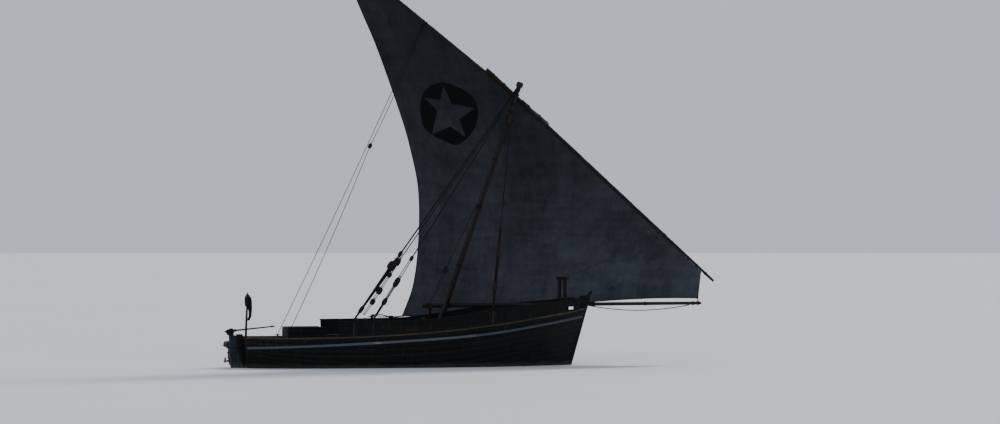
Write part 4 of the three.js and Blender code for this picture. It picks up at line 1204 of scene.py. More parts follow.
# %% Locker and lid
LOCKER_FROM, LOCKER_TO, LOCKER_HALF, LOCKER_TOP = -5.26, -3.83, 0.64, 1.566
LOCKER_FOOT = 0.8703
LOCKER_JOINS = (1.1, 1.335)
POST_TOP = LOCKER_TOP - 0.02
grooves = []
for z in LOCKER_JOINS:
    grooves += [
        ((-6, -LOCKER_HALF - 0.1, z - GROOVE), (-3, -LOCKER_HALF + 0.007, z + GROOVE)),
        ((-6, LOCKER_HALF - 0.007, z - GROOVE), (-3, LOCKER_HALF + 0.1, z + GROOVE)),
        ((LOCKER_FROM - 0.1, -1, z - GROOVE), (LOCKER_FROM + 0.007, 1, z + GROOVE)),
        ((LOCKER_TO - 0.007, -1, z - GROOVE), (LOCKER_TO + 0.1, 1, z + GROOVE)),
    ]
locker_boards = softened("deck_locker_boards", "deck_locker", edge=0.005, groove=grooves)
posts = []
for x, inwards in ((LOCKER_FROM, 1), (LOCKER_TO, -1)):
    for side in (-1, 1):
        xs = sorted((x - inwards * 0.014, x + inwards * 0.05))
        ys = sorted((side * (LOCKER_HALF + 0.014), side * (LOCKER_HALF - 0.05)))
        posts.append(block("post", (xs[0], ys[0], LOCKER_FOOT), (xs[1], ys[1], POST_TOP)))
for x in (-4.78, -4.31):
    for side in (-1, 1):
        near, far = sorted((side * LOCKER_HALF, side * (LOCKER_HALF + 0.016)))
        posts.append(block("batten", (x - 0.035, near, LOCKER_FOOT), (x + 0.035, far, POST_TOP)))
settle(joined("deck_locker_boards", [locker_boards, *posts]), "hull", heavy, "inner_timber", "deck_locker")

lid_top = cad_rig.box("deck_locker_lid")[1][2]
lid_seams = [LOCKER_FROM + 0.24 * k for k in range(1, 6)]
grooves = [((x - GROOVE, -1, lid_top - 0.008), (x + GROOVE, 1, lid_top + 0.01)) for x in lid_seams]
lid_parts = [softened("lid", "deck_locker_lid", edge=0.006, groove=grooves)]
for y in (-0.45, 0.45):
    low, high = (LOCKER_FROM + 0.02, y - 0.04, lid_top), (LOCKER_TO - 0.02, y + 0.04, lid_top + 0.018)
    lid_parts.append(block("batten", low, high))
lid = joined("deck_locker_lid_boards", lid_parts)
settle(lid, "locker_lid", heavy, "inner_timber", "deck_locker_lid")

# %% [markdown]
# ## Points picked from the picture
# Thin ropes are easier to find in the picture than to guess, so a rope's bends are given as
# picture points, with how far to port or starboard they lie. The camera's long lens makes this
# exact to a hand's breadth.


# %% Picture points
view_turn = camera.rotation_euler.to_matrix()
PICTURE_CENTRE = (500, 212)


def seen(across, down, y):
    """The place on the plane at y that the camera sees at a picture point."""
    ray = view_turn @ Vector(
        (across - PICTURE_CENTRE[0], PICTURE_CENTRE[1] - down, -PIXELS_PER_METRE * CAMERA_DISTANCE)
    )
    return camera_place + ray * ((y - camera_place.y) / ray.y)


MASTHEAD_SEEN = (520.5, 84)
print("the masthead is seen at", [round(number, 2) for number in seen(*MASTHEAD_SEEN, 0)])

# %% [markdown]
# ## Spars
# Masts and yards here are trimmed tree trunks: round, tapering, and never quite straight. Each
# is a tube whose radius and line wander by a few millimetres. Rope is wound round them wherever
# something is held on, and every winding is real rope, not a painted band.


# %% Poles and windings
# shares of the radius at the first points from each end
ROUNDED = (0.5, 0.8, 0.94)
BLUNT = (0.88,)


def pole(name, start, end, radii, wander=0.004, steps=60, sides=20, seed=0, ends=ROUNDED):
    """A trimmed trunk from start to end, with its radius at each."""
    radius_start, radius_end = radii
    path = line(start, end, steps)
    ahead = (Vector(end) - Vector(start)).normalized()
    side = ahead.orthogonal().normalized()
    radii = []
    for i, point in enumerate(path):
        share = i / steps
        knotty = noise.noise(Vector((i * 0.45, seed, 0)))
        free = math.sin(math.pi * share)
        sway = noise.noise(Vector((i * 0.12, seed, 5))) * free
        path[i] = point + side * wander * sway + ahead.cross(side) * wander * knotty * free
        radii.append((radius_start + (radius_end - radius_start) * share) * (1 + 0.03 * knotty))
    for i, share in enumerate(ends):
        radii[i] *= share
        radii[steps - i] *= share
    return tube(name, path, radii, sides)


def lashing(name, circles, along, turns, rope, sides=6):
    """Rope wound tightly round bars, each given by its centre and radius."""
    along = Vector(along).normalized()
    side = along.orthogonal().normalized()
    third = along.cross(side)
    circles = [(Vector(centre), radius) for centre, radius in circles]
    path = []
    for k in range(turns * 24 + 1):
        angle = 2 * math.pi * k / 24
        away = math.cos(angle) * side + math.sin(angle) * third
        centre, radius = max(circles, key=lambda circle: circle[0].dot(away) + circle[1])
        path.append(centre + away * (radius + rope * 0.9) + along * rope * 2 * (k / 24 - turns / 2))
    return tube(name, path, rope, sides)


def band(on_spar, spar_radius, at, along, turns, rope):
    """Rope wound round one spar at one place."""
    return lashing("band", [(on_spar(at), spar_radius(at))], along, turns, rope)


def straight(start, end, radii):
    """The middle line and the radius of a straight spar, each worked out from x."""

    def share(x):
        return (x - start.x) / (end.x - start.x)

    def on_spar(x):
        return start.lerp(end, share(x))

    def spar_radius(x):
        return radii[0] + (radii[1] - radii[0]) * share(x)

    return on_spar, spar_radius


# %% Mast
MAST_FOOT = Vector((0.12, 0, -0.79))
MAST_TOP = Vector((4.345, 0, 11.4))
MAST_RADIUS, MAST_TAPER = 0.125, 0.047
MAST_LENGTH = (MAST_TOP - MAST_FOOT).length
mast_axis = (MAST_TOP - MAST_FOOT).normalized()


def on_mast(along, side=(0, 0, 0)):
    return MAST_FOOT + mast_axis * along + Vector(side)


def mast_radius(along):
    return MAST_RADIUS - MAST_TAPER * along / MAST_LENGTH


shaft = [MAST_LENGTH * 0.98 * i / 60 for i in range(61)]
# distance down from the very top, radius
KNOB = (
    (0.24, 0.088),
    (0.215, 0.1),
    (0.195, 0.12),
    (0.165, 0.134),
    (0.125, 0.14),
    (0.07, 0.14),
    (0.03, 0.132),
    (0.005, 0.114),
    (-0.008, 0.08),
    (-0.013, 0.03),
)
path = [on_mast(along) for along in shaft[:-1]] + [on_mast(MAST_LENGTH - down) for down, radius in KNOB]
radii = [mast_radius(along) * (1 + 0.02 * noise.noise(Vector((along * 2, 3, 0)))) for along in shaft[:-1]]
mast = tube("mast_pole", path, radii + [radius for down, radius in KNOB], 28)
settle(mast, "hull", pole_wood, "spar_wood", "mast")

# distance up the mast, turns of rope
MAST_BANDS = ((2.62, 5), (5.1, 3), (7.55, 4), (9.6, 3), (11.68, 5), (11.95, 7), (12.6, 7))
bands = [band(on_mast, mast_radius, along, mast_axis, turns, 0.011) for along, turns in MAST_BANDS]
settle(joined("mast_rope_bands", bands), "hull", wrap_rope, "rope")

# %% Cleats on the mast
# A horned cleat: a foot, and two tapering horns. Each is one block with its top corners pulled
# out, so a rope can be belayed round it.


def cleat(place, along, up, length=0.3):
    """A horned cleat whose foot stands at place, with its horns along one direction."""
    place, along, up = Vector(place), Vector(along).normalized(), Vector(up).normalized()
    across = along.cross(up)
    half, foot, high = length / 2, length * 0.16, length * 0.3
    outline = [
        (-foot, 0),
        (foot, 0),
        (foot * 0.9, high * 0.45),
        (half, high * 0.8),
        (half * 0.98, high * 0.98),
        (foot, high * 0.85),
        (-foot, high * 0.85),
        (-half * 0.98, high * 0.98),
        (-half, high * 0.8),
        (-foot * 0.9, high * 0.45),
    ]
    rings = []
    for thick in (-0.07, 0.07):
        rings.append([place + along * a + up * b + across * thick * length for a, b in outline])
    piece = skin("cleat", rings, 30)
    modify(piece, "BEVEL", width=0.007, segments=2, limit_method="ANGLE", angle_limit=math.radians(30))
    return piece


aft = Vector((-mast_axis.z, 0, mast_axis.x))
mast_cleats = [
    cleat(on_mast(2.95, (0, -mast_radius(2.95) * 0.97, 0)), mast_axis, (0, -1, 0), 0.3),
    cleat(on_mast(3.25, aft * mast_radius(3.25) * 0.97), mast_axis, aft, 0.26),
]
settle(joined("mast_cleats", mast_cleats), "hull", upright_wood, "spar_wood")

# %% Bowsprit
SPRIT_HEEL = Vector((0.36, 0.412, 2.415))
SPRIT_TIP = Vector((11.95, 0.06, 2.47))
SPRIT_RADII = (0.09, 0.062)
on_sprit, sprit_radius = straight(SPRIT_HEEL, SPRIT_TIP, SPRIT_RADII)
sprit = pole("bowsprit_pole", SPRIT_HEEL, SPRIT_TIP, SPRIT_RADII, seed=4, ends=(0.85,))
settle(sprit, "hull", pole_wood, "spar_wood", "bowsprit")
# x, turns of rope
SPRIT_BANDS = ((0.62, 6), (1.5, 3), (5.2, 3), (7.42, 8), (9.6, 3), (11.62, 5), (11.82, 4))
sprit_bands = [band(on_sprit, sprit_radius, x, (1, 0, 0), turns, 0.01) for x, turns in SPRIT_BANDS]
CHOCK_X = 6.33
over_chock = [(on_sprit(CHOCK_X), sprit_radius(CHOCK_X)), (on_sprit(CHOCK_X) - Vector((0, 0, 0.24)), 0.1)]
sprit_bands.append(lashing("band", over_chock, (1, 0, 0), 5, 0.012))
settle(joined("bowsprit_lashings", sprit_bands), "hull", wrap_rope, "rope")

# %% Yard
LOWER_TIP, LOWER_HEEL = Vector((12.44, -0.09, 3.37)), Vector((3.0, 0.25, 11.93))
UPPER_HEEL, UPPER_TIP = Vector((5.6, 0.322, 9.72)), Vector((-3.2, 0.638, 16.78))
LOWER_RADII, UPPER_RADII = (0.054, 0.076), (0.072, 0.038)
yard_ahead = (UPPER_TIP - LOWER_TIP).normalized()
on_lower, lower_radius = straight(LOWER_TIP, LOWER_HEEL, LOWER_RADII)
on_upper, upper_radius = straight(UPPER_HEEL, UPPER_TIP, UPPER_RADII)
lower_pole = pole("yard_lower_pole", LOWER_TIP, LOWER_HEEL, LOWER_RADII, 0.008, seed=7, ends=BLUNT)
settle(lower_pole, "rig", yard_wood, "spar_wood", "yard_lower_spar")
upper_pole = pole("yard_upper_pole", UPPER_HEEL, UPPER_TIP, UPPER_RADII, 0.008, seed=9)
settle(upper_pole, "rig", yard_wood, "spar_wood", "yard_upper_spar")
# least and greatest x, middle line and radius of each spar
YARD_SPARS = (
    (LOWER_HEEL.x, LOWER_TIP.x, on_lower, lower_radius),
    (UPPER_TIP.x, UPPER_HEEL.x, on_upper, upper_radius),
)


def yard_circles(x):
    """The middle and radius of each spar of the yard that reaches this far."""
    return [(on_spar(x), radius(x)) for least, most, on_spar, radius in YARD_SPARS if least <= x <= most]


# x, turns of rope, radius of the rope
YARD_LASHINGS = ((3.26, 5, 0.008), (3.7, 6, 0.009), (4.5, 6, 0.017), (4.68, 3, 0.022), (5.2, 6, 0.009))
yard_lashings = [
    lashing("lashing", yard_circles(x), yard_ahead, turns, rope) for x, turns, rope in YARD_LASHINGS
]
settle(joined("yard_lashings", yard_lashings), "rig", wrap_rope, "rope", "yard_upper_spar")

# %% Parrel
# The yard hangs at the mast by a rope collar strung with wooden beads, which roll up and down
# the mast as the yard is hoisted. Three turns of rope go round mast and yard together.
PARREL_AT = 12.346
PARREL_X = on_mast(PARREL_AT).x
parrel_circles = [
    (on_mast(PARREL_AT), mast_radius(PARREL_AT) + 0.014),
    (on_lower(PARREL_X), lower_radius(PARREL_X) * 1.1),
    (on_upper(PARREL_X), upper_radius(PARREL_X) * 1.1),
]
settle(lashing("parrel_rope", parrel_circles, mast_axis, 3, 0.012), "rig", wrap_rope, "rope", "parrel")
deselect()
bpy.ops.mesh.primitive_uv_sphere_add(segments=12, ring_count=8, radius=0.026)
bead = bpy.context.object
for vertex in bead.data.vertices:
    vertex.co.z *= 0.8
bead_places = []
for row in (-0.05, 0.05):
    for k in range(11):
        angle = math.radians(-165 + 15 * k)
        out = math.cos(angle) * Vector((mast_axis.z, 0, -mast_axis.x)) + math.sin(angle) * Vector((0, 1, 0))
        bead_places.append((on_mast(PARREL_AT + row) + out * (mast_radius(PARREL_AT) + 0.03), mast_axis))
beads = scattered("parrel_beads", bead, bead_places)
smooth(beads, 60)
settle(beads, "rig", pole_wood, "spar_wood", "parrel")

# %% [markdown]
# ## Sail
# A settee sail is nearly a triangle: a long head along the yard, a very short luff at the front,
# a hollow leech behind and a free foot. Cloth under wind takes a smooth belly, so the sail is a
# patch stretched between its four edges and pushed to leeward. Real canvas is never that
# smooth, so it also sags a little between the ropes that tie it on, wrinkles out from its
# corners, and has small random dents. The chart follows the sewn widths, which run parallel to
# the leech, so the seams in the material follow them too.

# %% Edges of the sail
TACK = np.array((11.81, 0.02, 2.67))
CLEW = np.array((-0.06, 2.19, 1.96))
LUFF_TOP = np.array(on_lower(11.95))
PEAK = np.array(on_upper(-2.95))
under_yard = -Vector((yard_ahead.z, 0, -yard_ahead.x)).normalized()
CROSSING = np.array(on_lower(4.36).lerp(on_upper(4.36), 0.5) + under_yard * 0.092)
FOOT = (TACK, np.array((8.0, 1.95, 2.78)), np.array((3.5, 3.3, 1.85)), CLEW)
# x, y, z down the leech, between the clew and the peak
LEECH = (
    (0.42, 2.4, 3.15),
    (0.69, 2.48, 5.2),
    (0.62, 2.35, 7.24),
    (0.24, 2.0, 8.75),
    (-0.33, 1.65, 10.37),
    (-1.3, 1.18, 12.75),
    (-2.23, 0.82, 14.72),
)
leech_anchors = [CLEW, *(np.array(point) for point in LEECH), PEAK]
SAIL_ACROSS, SAIL_UP = 180, 130
BELLY = 0.95
ROBANDS = 42
head_spans = (np.linalg.norm(CROSSING - LUFF_TOP), np.linalg.norm(PEAK - CROSSING))
head_turn = head_spans[0] / sum(head_spans)
leech_points = curve_at(leech_anchors, np.linspace(0, 1, SAIL_UP + 1))


def head_point(u):
    """A point just under the yard, pushed clear of both spars."""
    if u < head_turn:
        point = LUFF_TOP + (CROSSING - LUFF_TOP) * u / head_turn
    else:
        point = CROSSING + (PEAK - CROSSING) * (u - head_turn) / (1 - head_turn)
    point = Vector(point)
    push = 0.0
    for middle, radius in yard_circles(point.x):
        push = max(push, (middle - point).dot(under_yard) + radius + 0.017)
    return np.array(point + under_yard * push)


def wrinkle(u, v, x, z):
    """How far a point of the cloth stands to port of a smooth belly."""
    free = math.sin(math.pi * u) * math.sin(math.pi * v)
    dents = 0.022 * noise.noise(Vector((x * 0.7, z * 0.7, 2)))
    dents += 0.01 * noise.noise(Vector((x * 2.1, z * 2.1, 8)))
    by_head = max(0.0, 1 - (1 - v) / 0.05) ** 2
    droop = 0.02 * math.sin(u * ROBANDS * math.pi) ** 2 * by_head * math.sin(math.pi * u)
    flutter = 0.03 * math.sin(v * 9 * math.pi + 1) * max(0.0, (u - 0.93) / 0.07) * math.sin(math.pi * v)
    from_clew = math.hypot(x - CLEW[0], z - CLEW[2])
    fan = math.atan2(z - CLEW[2] + 0.5, x - CLEW[0] + 0.5)
    rays = math.sin(9 * fan) * math.exp(-from_clew / 2.6) * 0.05
    from_tack = math.hypot(x - TACK[0], z - TACK[2])
    fan = math.atan2(z - TACK[2] + 0.3, TACK[0] - x + 0.4)
    strain = math.sin(11 * fan) * math.exp(-from_tack / 1.6) * 0.02
    return dents * min(1, 6 * free) + droop + flutter + (rays + strain) * min(1, 4 * free)


sail_points = np.zeros((SAIL_ACROSS + 1, SAIL_UP + 1, 3))
for i in range(SAIL_ACROSS + 1):
    u = i / SAIL_ACROSS
    foot = sum(k * c for k, c in zip(((1 - u) ** 3, 3 * (1 - u) ** 2 * u, 3 * (1 - u) * u**2, u**3), FOOT))
    head = head_point(u)
    for j in range(SAIL_UP + 1):
        v = j / SAIL_UP
        luff = TACK + (head_point(0) - TACK) * v
        corners = (1 - u) * ((1 - v) * TACK + v * head_point(0)) + u * ((1 - v) * CLEW + v * head_point(1))
        point = (1 - v) * foot + v * head + (1 - u) * luff + u * leech_points[j] - corners
        point[1] += BELLY * math.sin(math.pi * u**0.85) * math.sin(math.pi * v**0.9) ** 0.9
        point[1] += wrinkle(u, v, point[0], point[2])
        sail_points[i, j] = point
leech_heights = sail_points[-1, :, 2]
leech_xs = sail_points[-1, :, 0]


def sail_chart(i, j):
    """Metres forward of the leech at the same height, and metres up."""
    x, y, z = sail_points[i, j]
    return (x - np.interp(z, leech_heights, leech_xs)) * 1.04 + 0.3, z


sail = grid("sail_cloth", SAIL_ACROSS, SAIL_UP, lambda i, j: sail_points[i, j], sail_chart)
smooth(sail, 60)
cloth_area = sum(face.area for face in sail.data.polygons)
print("the sail's cloth measures", round(cloth_area, 1), "square metres")

# %% Emblem cut from the cloth
# The dark disc and its five-pointed star are painted through to both sides. A shape drawn on a
# material would lose its edge on a coarse chart, so the painted area is its own thin skin: a
# slightly thicker copy of the sail, kept only inside the disc and outside the star.
# picture points round the disc, then the star's tips and inner corners in turn
DISC = (
    (427.4, 88),
    (440.8, 82.3),
    (457.4, 86.8),
    (467, 91.9),
    (475.3, 100.8),
    (478.1, 111),
    (475.3, 127),
    (466.3, 139.1),
    (456.1, 144.8),
    (444.6, 141.3),
    (431.9, 134.3),
    (424.2, 127.6),
    (420.7, 115.5),
    (420.4, 103.4),
    (423, 93.8),
)
STAR = (
    (443.4, 85.5),
    (452, 104),
    (474.6, 108.2),
    (459.3, 119.3),
    (465.7, 137.2),
    (450.4, 126.6),
    (431.9, 134.3),
    (437.3, 110.4),
    (423.9, 97.6),
    (440.2, 100.2),
)


def prism(name, outline, near, far):
    return skin(name, [[seen(across, down, y) for across, down in outline] for y in (near, far)])


wrapped = (*DISC[-3:], *DISC, *DISC[:4])
shares = [(3 + 15 * k / 75) / (len(wrapped) - 1) for k in range(75)]
round_disc = [tuple(point) for point in curve_at(wrapped, shares)]
disc = prism("disc", round_disc, 0.2, 2.9)
star = prism("star", STAR, 0.1, 3.0)
modify(disc, "BOOLEAN", operation="DIFFERENCE", solver="EXACT", object=star)
emblem = added("sail_emblem_paint", sail.data.copy())
modify(emblem, "SOLIDIFY", thickness=0.0105, offset=0)
modify(emblem, "BOOLEAN", operation="INTERSECT", solver="EXACT", object=disc)
smooth(emblem, 30)
for tool in (disc, star):
    bpy.data.objects.remove(tool)
settle(emblem, "rig", canvas_black, "sailcloth")

modify(sail, "SOLIDIFY", thickness=0.006, offset=0)
settle(sail, "rig", canvas, "sailcloth", "sail")

# %% Bolt rope, cringles and robands
# A rope is sewn round the edge so the cloth can't tear there. At the tack and the clew it turns
# round an iron ring. Short ropes, one at each eyelet, tie the head to the yard.
# head, leech, foot, luff
edges = (sail_points[:, -1], sail_points[-1], sail_points[:, 0], sail_points[0])
ropes = [tube("edge", points[::2], 0.014, 6) for points in edges]
settle(joined("sail_bolt_rope", ropes), "rig", coir, "rope")


def ring(name, place, facing, radius, rope):
    """A closed ring of round bar."""
    facing = Vector(facing).normalized()
    side = facing.orthogonal().normalized()
    third = facing.cross(side)
    turns = [2 * math.pi * k / 20 for k in range(21)]
    path = [Vector(place) + radius * (math.cos(t) * side + math.sin(t) * third) for t in turns]
    return tube(name, path, rope, 6)


cringles = [
    ring("cringle", Vector(CLEW) + Vector((0.03, 0, 0.02)), (0.2, 1, 0), 0.05, 0.009),
    ring("cringle", Vector(TACK) + Vector((-0.02, 0, 0.03)), (0, 1, 0), 0.045, 0.009),
    ring("cringle", Vector(sail_points[-1, -1]) + Vector((0.02, 0, -0.03)), (0, 1, 0), 0.04, 0.008),
]
settle(joined("sail_cringles", cringles), "rig", iron, "iron_fittings")

robands = []
for k in range(ROBANDS):
    place = Vector(head_point((k + 0.5) / ROBANDS))
    robands.append(lashing("roband", [(place, 0.012), *yard_circles(place.x)], yard_ahead, 2, 0.007))
settle(joined("sail_robands", robands), "rig", coir, "rope")
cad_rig.sheet(
    sail,
    flat=(9.3, 19.9),
    area=round(cloth_area * 0.99, 1),
    held="stretched",
    rests_on=["yard_lower_pole", "yard_upper_pole"],
    with_pieces=["sail_emblem_paint", "sail_bolt_rope", "sail_cringles", "sail_robands"],
)

# %% [markdown]
# ## Blocks and stays
# The mast stands by its windward stays alone. Each one is a thick rope from the masthead that
# ends in wooden blocks, and a tackle of thinner rope pulls it tight to the rail. A block is two
# rounded cheeks of hard wood with a grooved wheel between them, bound round with rope. It's
# modelled once, as parts, and then made again at each place and size.


# %% A rope block
def finished(piece, material):
    piece.data.materials.append(material)
    return piece


def oval(centre, pull, across, facing, long, wide, offset, sides=24, squareness=2):
    """A ring of points: an oval in the plane of pull and across, moved along facing."""
    places = []
    for turn in turns_round(sides):
        c, s = math.cos(turn), math.sin(turn)
        fuller = (abs(c) ** squareness + abs(s) ** squareness) ** (-1 / squareness)
        places.append(centre + (pull * long * c + across * wide * s) * fuller + facing * offset)
    return places


BLOCK = ((0.018, 0.0135, 0.0105), (0.0075, 0.006, 0.005))
block_wood = wood("Block wood", *BLOCK, "ZXY", False, ONE_TIMBER, rough=0.6)
# offset along the axle and share of the full outline, for a cheek and for the wheel
CHEEK = ((0.08, 0.9), (0.11, 1.0), (0.2, 1.0), (0.27, 0.82), (0.3, 0.5))
WHEEL = ((-0.07, 1.0), (-0.05, 0.86), (0.05, 0.86), (0.07, 1.0))


def pulley(place, pull, size, girth=0.7, facing=(0, 1, 0)):
    """A block of a given length, its girth a share of that, whose load pulls along one direction."""
    place, pull = Vector(place), Vector(pull).normalized()
    facing = Vector(facing)
    facing = (facing - pull * facing.dot(pull)).normalized()
    across = pull.cross(facing)
    ways = (pull, across, facing)
    half = size / 2
    wide = half * girth
    parts = []
    for side in (-1, 1):
        rings = [
            oval(place, *ways, half * share, wide * share, side * offset * wide * 2.2, 32, 3.4)
            for offset, share in CHEEK
        ]
        parts.append(finished(skin("cheek", rings), block_wood))
    wheel_radius = wide * 0.85
    wheel = [
        oval(place, *ways, wheel_radius * share, wheel_radius * share, offset * wide * 2.2)
        for offset, share in WHEEL
    ]
    parts.append(finished(skin("wheel", wheel), iron))
    axle = [place - facing * wide * 0.72, place + facing * wide * 0.72]
    parts.append(finished(tube("axle", axle, wide * 0.17, 10), iron))
    strop = oval(place, *ways, half * 1.04, wide * 1.07, 0, 32, 3)
    parts.append(finished(tube("strop", [*strop, strop[0]], size * 0.055, 8), wrap_rope))
    eye = oval(place + pull * half * 1.22, *ways, half * 0.22, half * 0.2, 0, 16)
    parts.append(finished(tube("eye", [*eye, eye[0]], size * 0.05, 8), wrap_rope))
    return joined("block", parts)


def sagging(start, end, sag, steps):
    """Evenly spaced points from start to end that sink between them."""
    points = []
    for i, point in enumerate(line(start, end, steps)):
        points.append(point - Vector((0, 0, sag * 4 * i / steps * (1 - i / steps))))
    return points


def stretched(name, points, radius, sag=0.0, steps=12):
    """Rope pulled through points, each stretch sinking a little between its ends."""
    path = [Vector(points[0])]
    for start, end in zip(points, points[1:]):
        path += sagging(start, end, sag, steps)[1:]
    return tube(name, path, radius, 6)


def bundle(start, end, parts, radius, wide_start, wide_end, across=(1, 0, 0)):
    """Parallel parts of a tackle, spread across at each end."""
    across = Vector(across)
    ropes = []
    for k in range(parts):
        aside = across * (0 if parts == 1 else k / (parts - 1) - 0.5)
        ropes.append(stretched("fall", [start + aside * wide_start, end + aside * wide_end], radius))
    return ropes


# %% Windward stays
# name: where it leaves the mast and on which side, its foot x and y, its radius, then the
# height, length, girth and falls of each block
STAYS = {
    "aft_stay": (
        (12.62, (-1, 0), (-2.86, -1.99), 0.03),
        ((4.5, 0.22, 0.6, 3), (4.02, 0.35, 0.84, 5), (2.32, 0.3, 0.42, 4)),
    ),
    "middle_stay": (
        (12.63, (-0.53, -0.91), (-2.1, -2.04), 0.024),
        ((4.32, 0.2, 0.62, 2), (3.38, 0.4, 0.42, 3), (2.62, 0.26, 0.6, 3)),
    ),
    "fore_shroud": (
        (11.74, (0, -1), (2.74, -1.96), 0.022),
        ((5.5, 0.18, 0.7, 3), (4.5, 0.26, 0.6, 4), (3.2, 0.28, 0.6, 4)),
    ),
}
FALL_RADIUS = 0.0165


def on_line(start, end, z):
    return start.lerp(end, (z - start.z) / (end.z - start.z))


stay_lines = {}
eyes = []
for name, ((hounds, side, foot, radius), blocks) in STAYS.items():
    top = on_mast(hounds) + Vector((*side, 0)) * (mast_radius(hounds) + 0.008)
    eye = Vector((*foot, strake_top(foot[0]) + 0.066))
    stay_lines[name] = (top, eye)
    pull = (top - eye).normalized()
    first = on_line(top, eye, blocks[0][0])
    pendant = stretched(name + "_rope", [top, first + pull * blocks[0][1] * 0.5], radius)
    settle(pendant, "hull", tarred_rope, "rope", name + "_pendant")
    pieces = []
    for k, (height, size, girth, falls) in enumerate(blocks):
        place = on_line(top, eye, height)
        pieces.append(pulley(place, pull, size, girth))
        below, wide_below = eye, 0.05
        if k < len(blocks) - 1:
            next_height, next_size, next_girth, _ = blocks[k + 1]
            below = on_line(top, eye, next_height) + pull * next_size * 0.4
            wide_below = next_size * next_girth * 0.6
        ropes = bundle(place - pull * size * 0.4, below, falls, FALL_RADIUS, size * girth * 0.55, wide_below)
        pieces += [finished(rope, tarred_rope) for rope in ropes]
    settle(joined(name + "_blocks", pieces), "hull", None, "rope", name + "_tackle")
    eyes.append(ring("eye", eye, (1, 0.3, 0), 0.034, 0.009))
    side_point, out = on_sheer(foot[0])
    rise = strake_rise(side_point)
    strap = [
        [
            (side_point + out * (n + up * STRAKE_LEAN) + Vector((along, 0, up))) * Vector((1, -1, 1))
            for along, n in ((-0.03, 0.017), (0.03, 0.017), (0.03, 0.026), (-0.03, 0.026))
        ]
        for up in (0.08, rise * 0.5, rise - 0.04)
    ]
    eyes.append(skin("strap", strap, 30))
settle(joined("chain_plates", eyes), "hull", iron, "iron_fittings")
top, eye = stay_lines["aft_stay"]
second_ends = [on_mast(12.5, (-0.06, -0.07, 0)), on_line(top, eye, 4.24) + Vector((0.15, -0.02, 0))]
second = stretched("aft_stay_second_rope", second_ends, 0.02)
settle(second, "hull", tarred_rope, "rope")

# %% Runner and its tackles on the windward rail
# picture points down each rope with how far they lie to port, the length of the block there
# or 0, and the number of falls below it
RUNNERS = {
    "runner_rope": ((476, 206, -0.1, 0, 1), (445.4, 270, -1.15, 0.26, 2), (428, 309, -1.97, 0, 0)),
    "aft_runner_rope": (
        (397.4, 261.9, -1.5, 0.3, 2),
        (389.6, 275.2, -1.6, 0.2, 2),
        (379.4, 290.8, -1.72, 0.28, 2),
        (372.6, 301.8, -1.82, 0.24, 2),
        (363.4, 315.2, -1.99, 0, 0),
    ),
}
for name, stops in RUNNERS.items():
    places = [seen(across, down, y) for across, down, y, size, falls in stops]
    pieces = []
    for k, (across, down, y, size, falls) in enumerate(stops[:-1]):
        pull = (places[max(k - 1, 0)] - places[k + 1]).normalized()
        if size:
            pieces.append(pulley(places[k], pull, size))
        ropes = bundle(places[k], places[k + 1], falls, 0.015, size * 0.4 if size else 0.1, 0.06)
        pieces += [finished(rope, tarred_rope) for rope in ropes]
    settle(joined(name, pieces), "hull", None, "rope")

# %% Halyard tackle
HALYARD_TOP, HALYARD_FOOT = on_mast(11.3, (0.05, -0.21, 0)), on_mast(2.3, (0.02, -0.19, 0))
up_mast = (HALYARD_TOP - HALYARD_FOOT).normalized()
halyard_strop = stretched("strop", [HALYARD_TOP + up_mast * 0.2, on_mast(11.72, (0, -0.1, 0))], 0.02)
halyard = [
    pulley(HALYARD_TOP, up_mast, 0.42, 0.56, (0.3, 1, 0)),
    finished(halyard_strop, tarred_rope),
    pulley(HALYARD_FOOT, -up_mast, 0.34, 0.5, (0.3, 1, 0)),
]
for rope in bundle(HALYARD_TOP, HALYARD_FOOT, 3, 0.011, 0.13, 0.11):
    halyard.append(finished(rope, tarred_rope))
settle(joined("halyard_tackle", halyard), "hull", None, "rope")
runner_band = band(on_mast, mast_radius, 7.62, mast_axis, 5, 0.012)
settle(joined("runner_mast_band", [runner_band]), "hull", wrap_rope, "rope")

# %% [markdown]
# ## Lines between the boat and the yard
# The sheet holds the clew down to a cleat, two vangs steady the yard from the quarter, and a
# line from the gallows keeps its foot forward. When the yard swings, one end of each follows it
# and the other stays put, so each of these bends from one to the other over its whole length.

# %% Sheet, vangs and tack line
clew, tack = Vector(CLEW), Vector(TACK)
# where each vang is made fast: across the picture, how far to port; and how far down it is
VANG_FEET = ((277.5, 1.5), (288, 1.56))
FEET_DOWN, CLEATS_DOWN = 334.5, 335


def over_sprit(x):
    """A point just over the middle line of the bowsprit."""
    return on_sprit(x) + Vector((0, 0, 0.04))


SHEET_CLEAT = seen(371.5, 314.5, 2.06)
SHEET_TURN = seen(380.9, 314.3, 2.08)
SHEET_BLOCK = seen(390.9, 316.8, 2.1)
VANG_BLOCK = seen(370, 146, 0.92)
after_foot, fore_foot = (seen(across, FEET_DOWN, y) for across, y in VANG_FEET)
